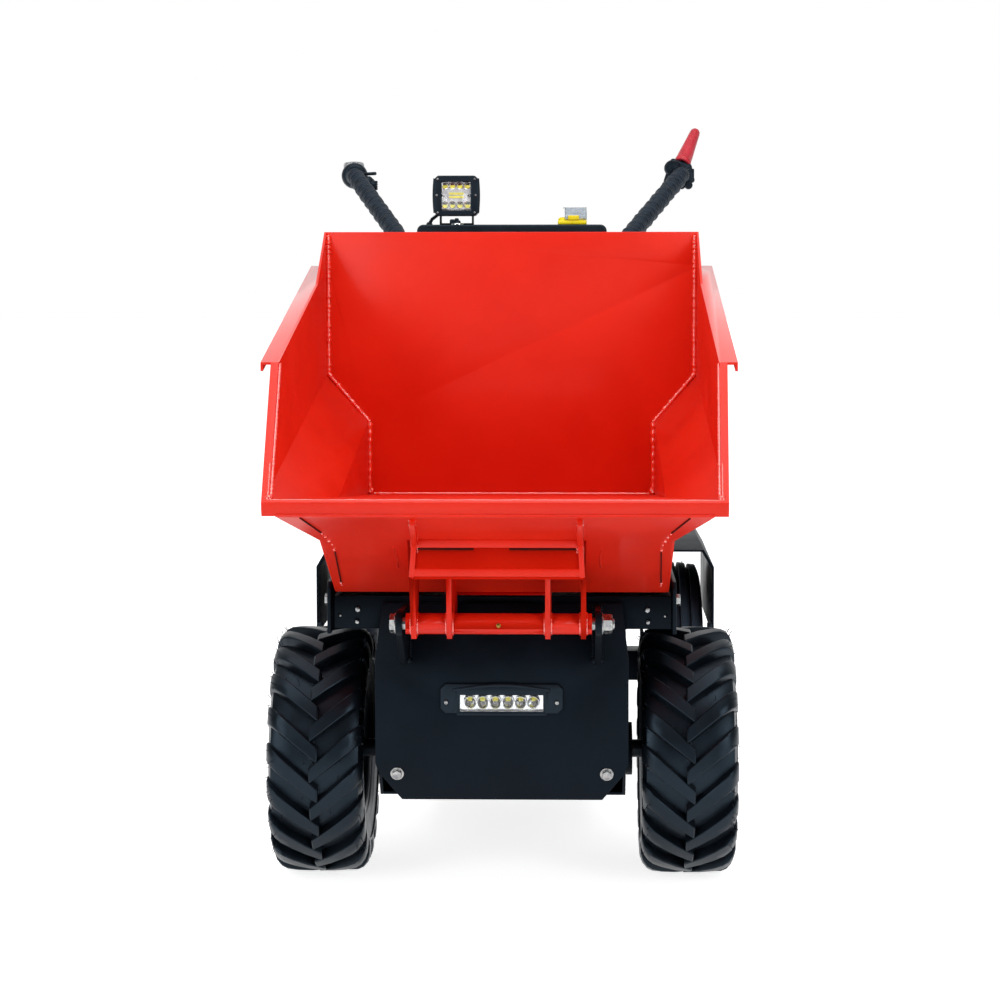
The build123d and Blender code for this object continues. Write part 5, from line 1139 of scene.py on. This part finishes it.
# --- Left-hand control ---------------------------------------------------------------------------
# A round display in a silver band stands on a clamp at the left grip, with a small lever and a knurled
# knob on its inner side. Its face is plain.
left = Vector((-BEND.x, BEND.y, BEND.z))
toward = (Vector((-GRIP_END.x, GRIP_END.y, GRIP_END.z)) - left).normalized()
clamp = bmesh.new()
turned(clamp, [(0, 13), (0, 19), (3, 23.5), (8, 26), (15, 26.8), (22, 26), (26, 22), (26, 13)],
       left + toward * 8, left + toward * 40, 40)
DISPLAY = Vector((-336.0, 392.0, 1210.0))
tilt = Vector((0.0, -0.22, 1.0)).normalized()
turned(clamp, [(-4, 15), (0, 18.0), (6, 19.4), (6, 0)], DISPLAY, DISPLAY + tilt * 10, 40)
for n, (x, z, r) in enumerate(((-303, 1189, 10), (-297, 1182, 11), (-300, 1172, 9), (-308, 1179, 9))):
    dab(clamp, (x, 352 + n * 3, z), r, 1.1, 70 + n)
for n in range(10):
    turn = 2 * pi * n / 10
    box(clamp, (-290.5, -284.5), (352 + 8 * sin(turn) - 1.6, 352 + 8 * sin(turn) + 1.6),
        (1180 + 8 * cos(turn) - 1.6, 1180 + 8 * cos(turn) + 1.6), 0.7)
rod(clamp, (-300, 352, 1180), (-285, 352, 1180), 8.5, 2)
rod(clamp, (-322, 362, 1203), (-287, 356, 1204.5), 3.4, 1.5, 16)
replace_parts(piece("left_control_clamp", clamp, BAR, plastic, 45), "hand_dial")
bezel = bmesh.new()
turned(bezel, [(3, 18.8), (3, 20.4), (7, 21.2), (14.0, 21.2), (17, 19.6), (16, 17.6), (14, 17.4)], DISPLAY,
       DISPLAY + tilt * 10, 44)
# Its band is satin-silver lacquer on plastic, pale in soft light.
silver_band = finish("satin_silver_lacquer", ("8E9195", "C2C4C7"), 10, 1, 0.005, (0.22, 0.32),
                     {"Metallic": 0.55})
piece("display_bezel", bezel, BAR, silver_band)
glass = bmesh.new()
turned(glass, [(14.5, 17.6), (16.2, 12), (16.8, 6), (17, 0)], DISPLAY, DISPLAY + tilt * 10, 40)
piece("display_glass", glass, BAR, dark_glass)

# --- Right-hand control --------------------------------------------------------------------------
# A two-part moulded clamp with a boss and screw, and behind it the drive lever in its red PVC sleeve,
# flared at the foot and rounded at the tip.
house_low, house_high = corners("lever_housing")
HOUSE_Y = (house_low.y + house_high.y) / 2
house = bmesh.new()
box(house, (303, 349), (house_low.y, house_high.y), (1176, 1231), 7.0, 4,
    Matrix.Rotation(radians(18), 4, "Y"))
box(house, (322, 358), (house_low.y - 1, house_high.y - 3), (1182, 1222), 6.0, 4,
    Matrix.Rotation(radians(-12), 4, "Y"))
turned(house, [(0, 0), (0, 15), (3, 16.5), (20, 16.5), (23, 14), (22.4, 11), (24, 6), (24.5, 0)],
       (315, house_high.y - 2, 1215), (315, house_low.y - 6, 1215), 32)
turned(house, [(0, 0), (0, 8), (24, 8), (26, 6.5), (26, 0)], (348, house_high.y - 2, 1180),
       (348, house_low.y - 8, 1180), 24)
box(house, (350, 359.5), (house_low.y + 2, house_high.y - 4), (1196, 1214), 2.0, 3)
cheek = [(306, house_low.y - 3, 1190), (318, house_low.y - 6, 1200), (332, house_low.y - 6, 1210),
         (348, house_low.y - 3, 1216)]
swept(house, line_points(cheek, 4), lambda run, angle: 5.0, 12)
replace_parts(piece("right_control_clamp", house, BAR, plastic, 45), "lever_housing")
house_screws = bmesh.new()
turned(house_screws, [(0, 3.4), (1.0, 3.2), (1.8, 2.4), (1.9, 1.3), (0.9, 1.1), (0.9, 0)],
       (346, house_low.y - 5, 1214), (346, house_low.y - 9, 1214), 16)
piece("control_screws", house_screws, BAR, zinc)
red_sleeve = finish("red_pvc_sleeve", ("B01E2C", "C02A38"), 30, 2, 0.06, (0.38, 0.50),
                    {"Specular IOR Level": 0.4})
lever = bmesh.new()
LEVER_FOOT = Vector((335, HOUSE_Y, 1224))
LEVER_TIP = Vector((365.0, HOUSE_Y + 56, 1292.2))
turned(lever, [(0, 11), (0, 15.5), (3, 16.8), (8, 16.9), (10, 16.0), (24, 15.2), (45, 13.4), (70, 11.6),
               (86, 10.6), (92, 9.6), (96, 7), (97.5, 3.5), (97.8, 0)], LEVER_FOOT, LEVER_TIP, 36)
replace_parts(piece("red_lever_sleeve", lever, BAR, red_sleeve), "red_lever")
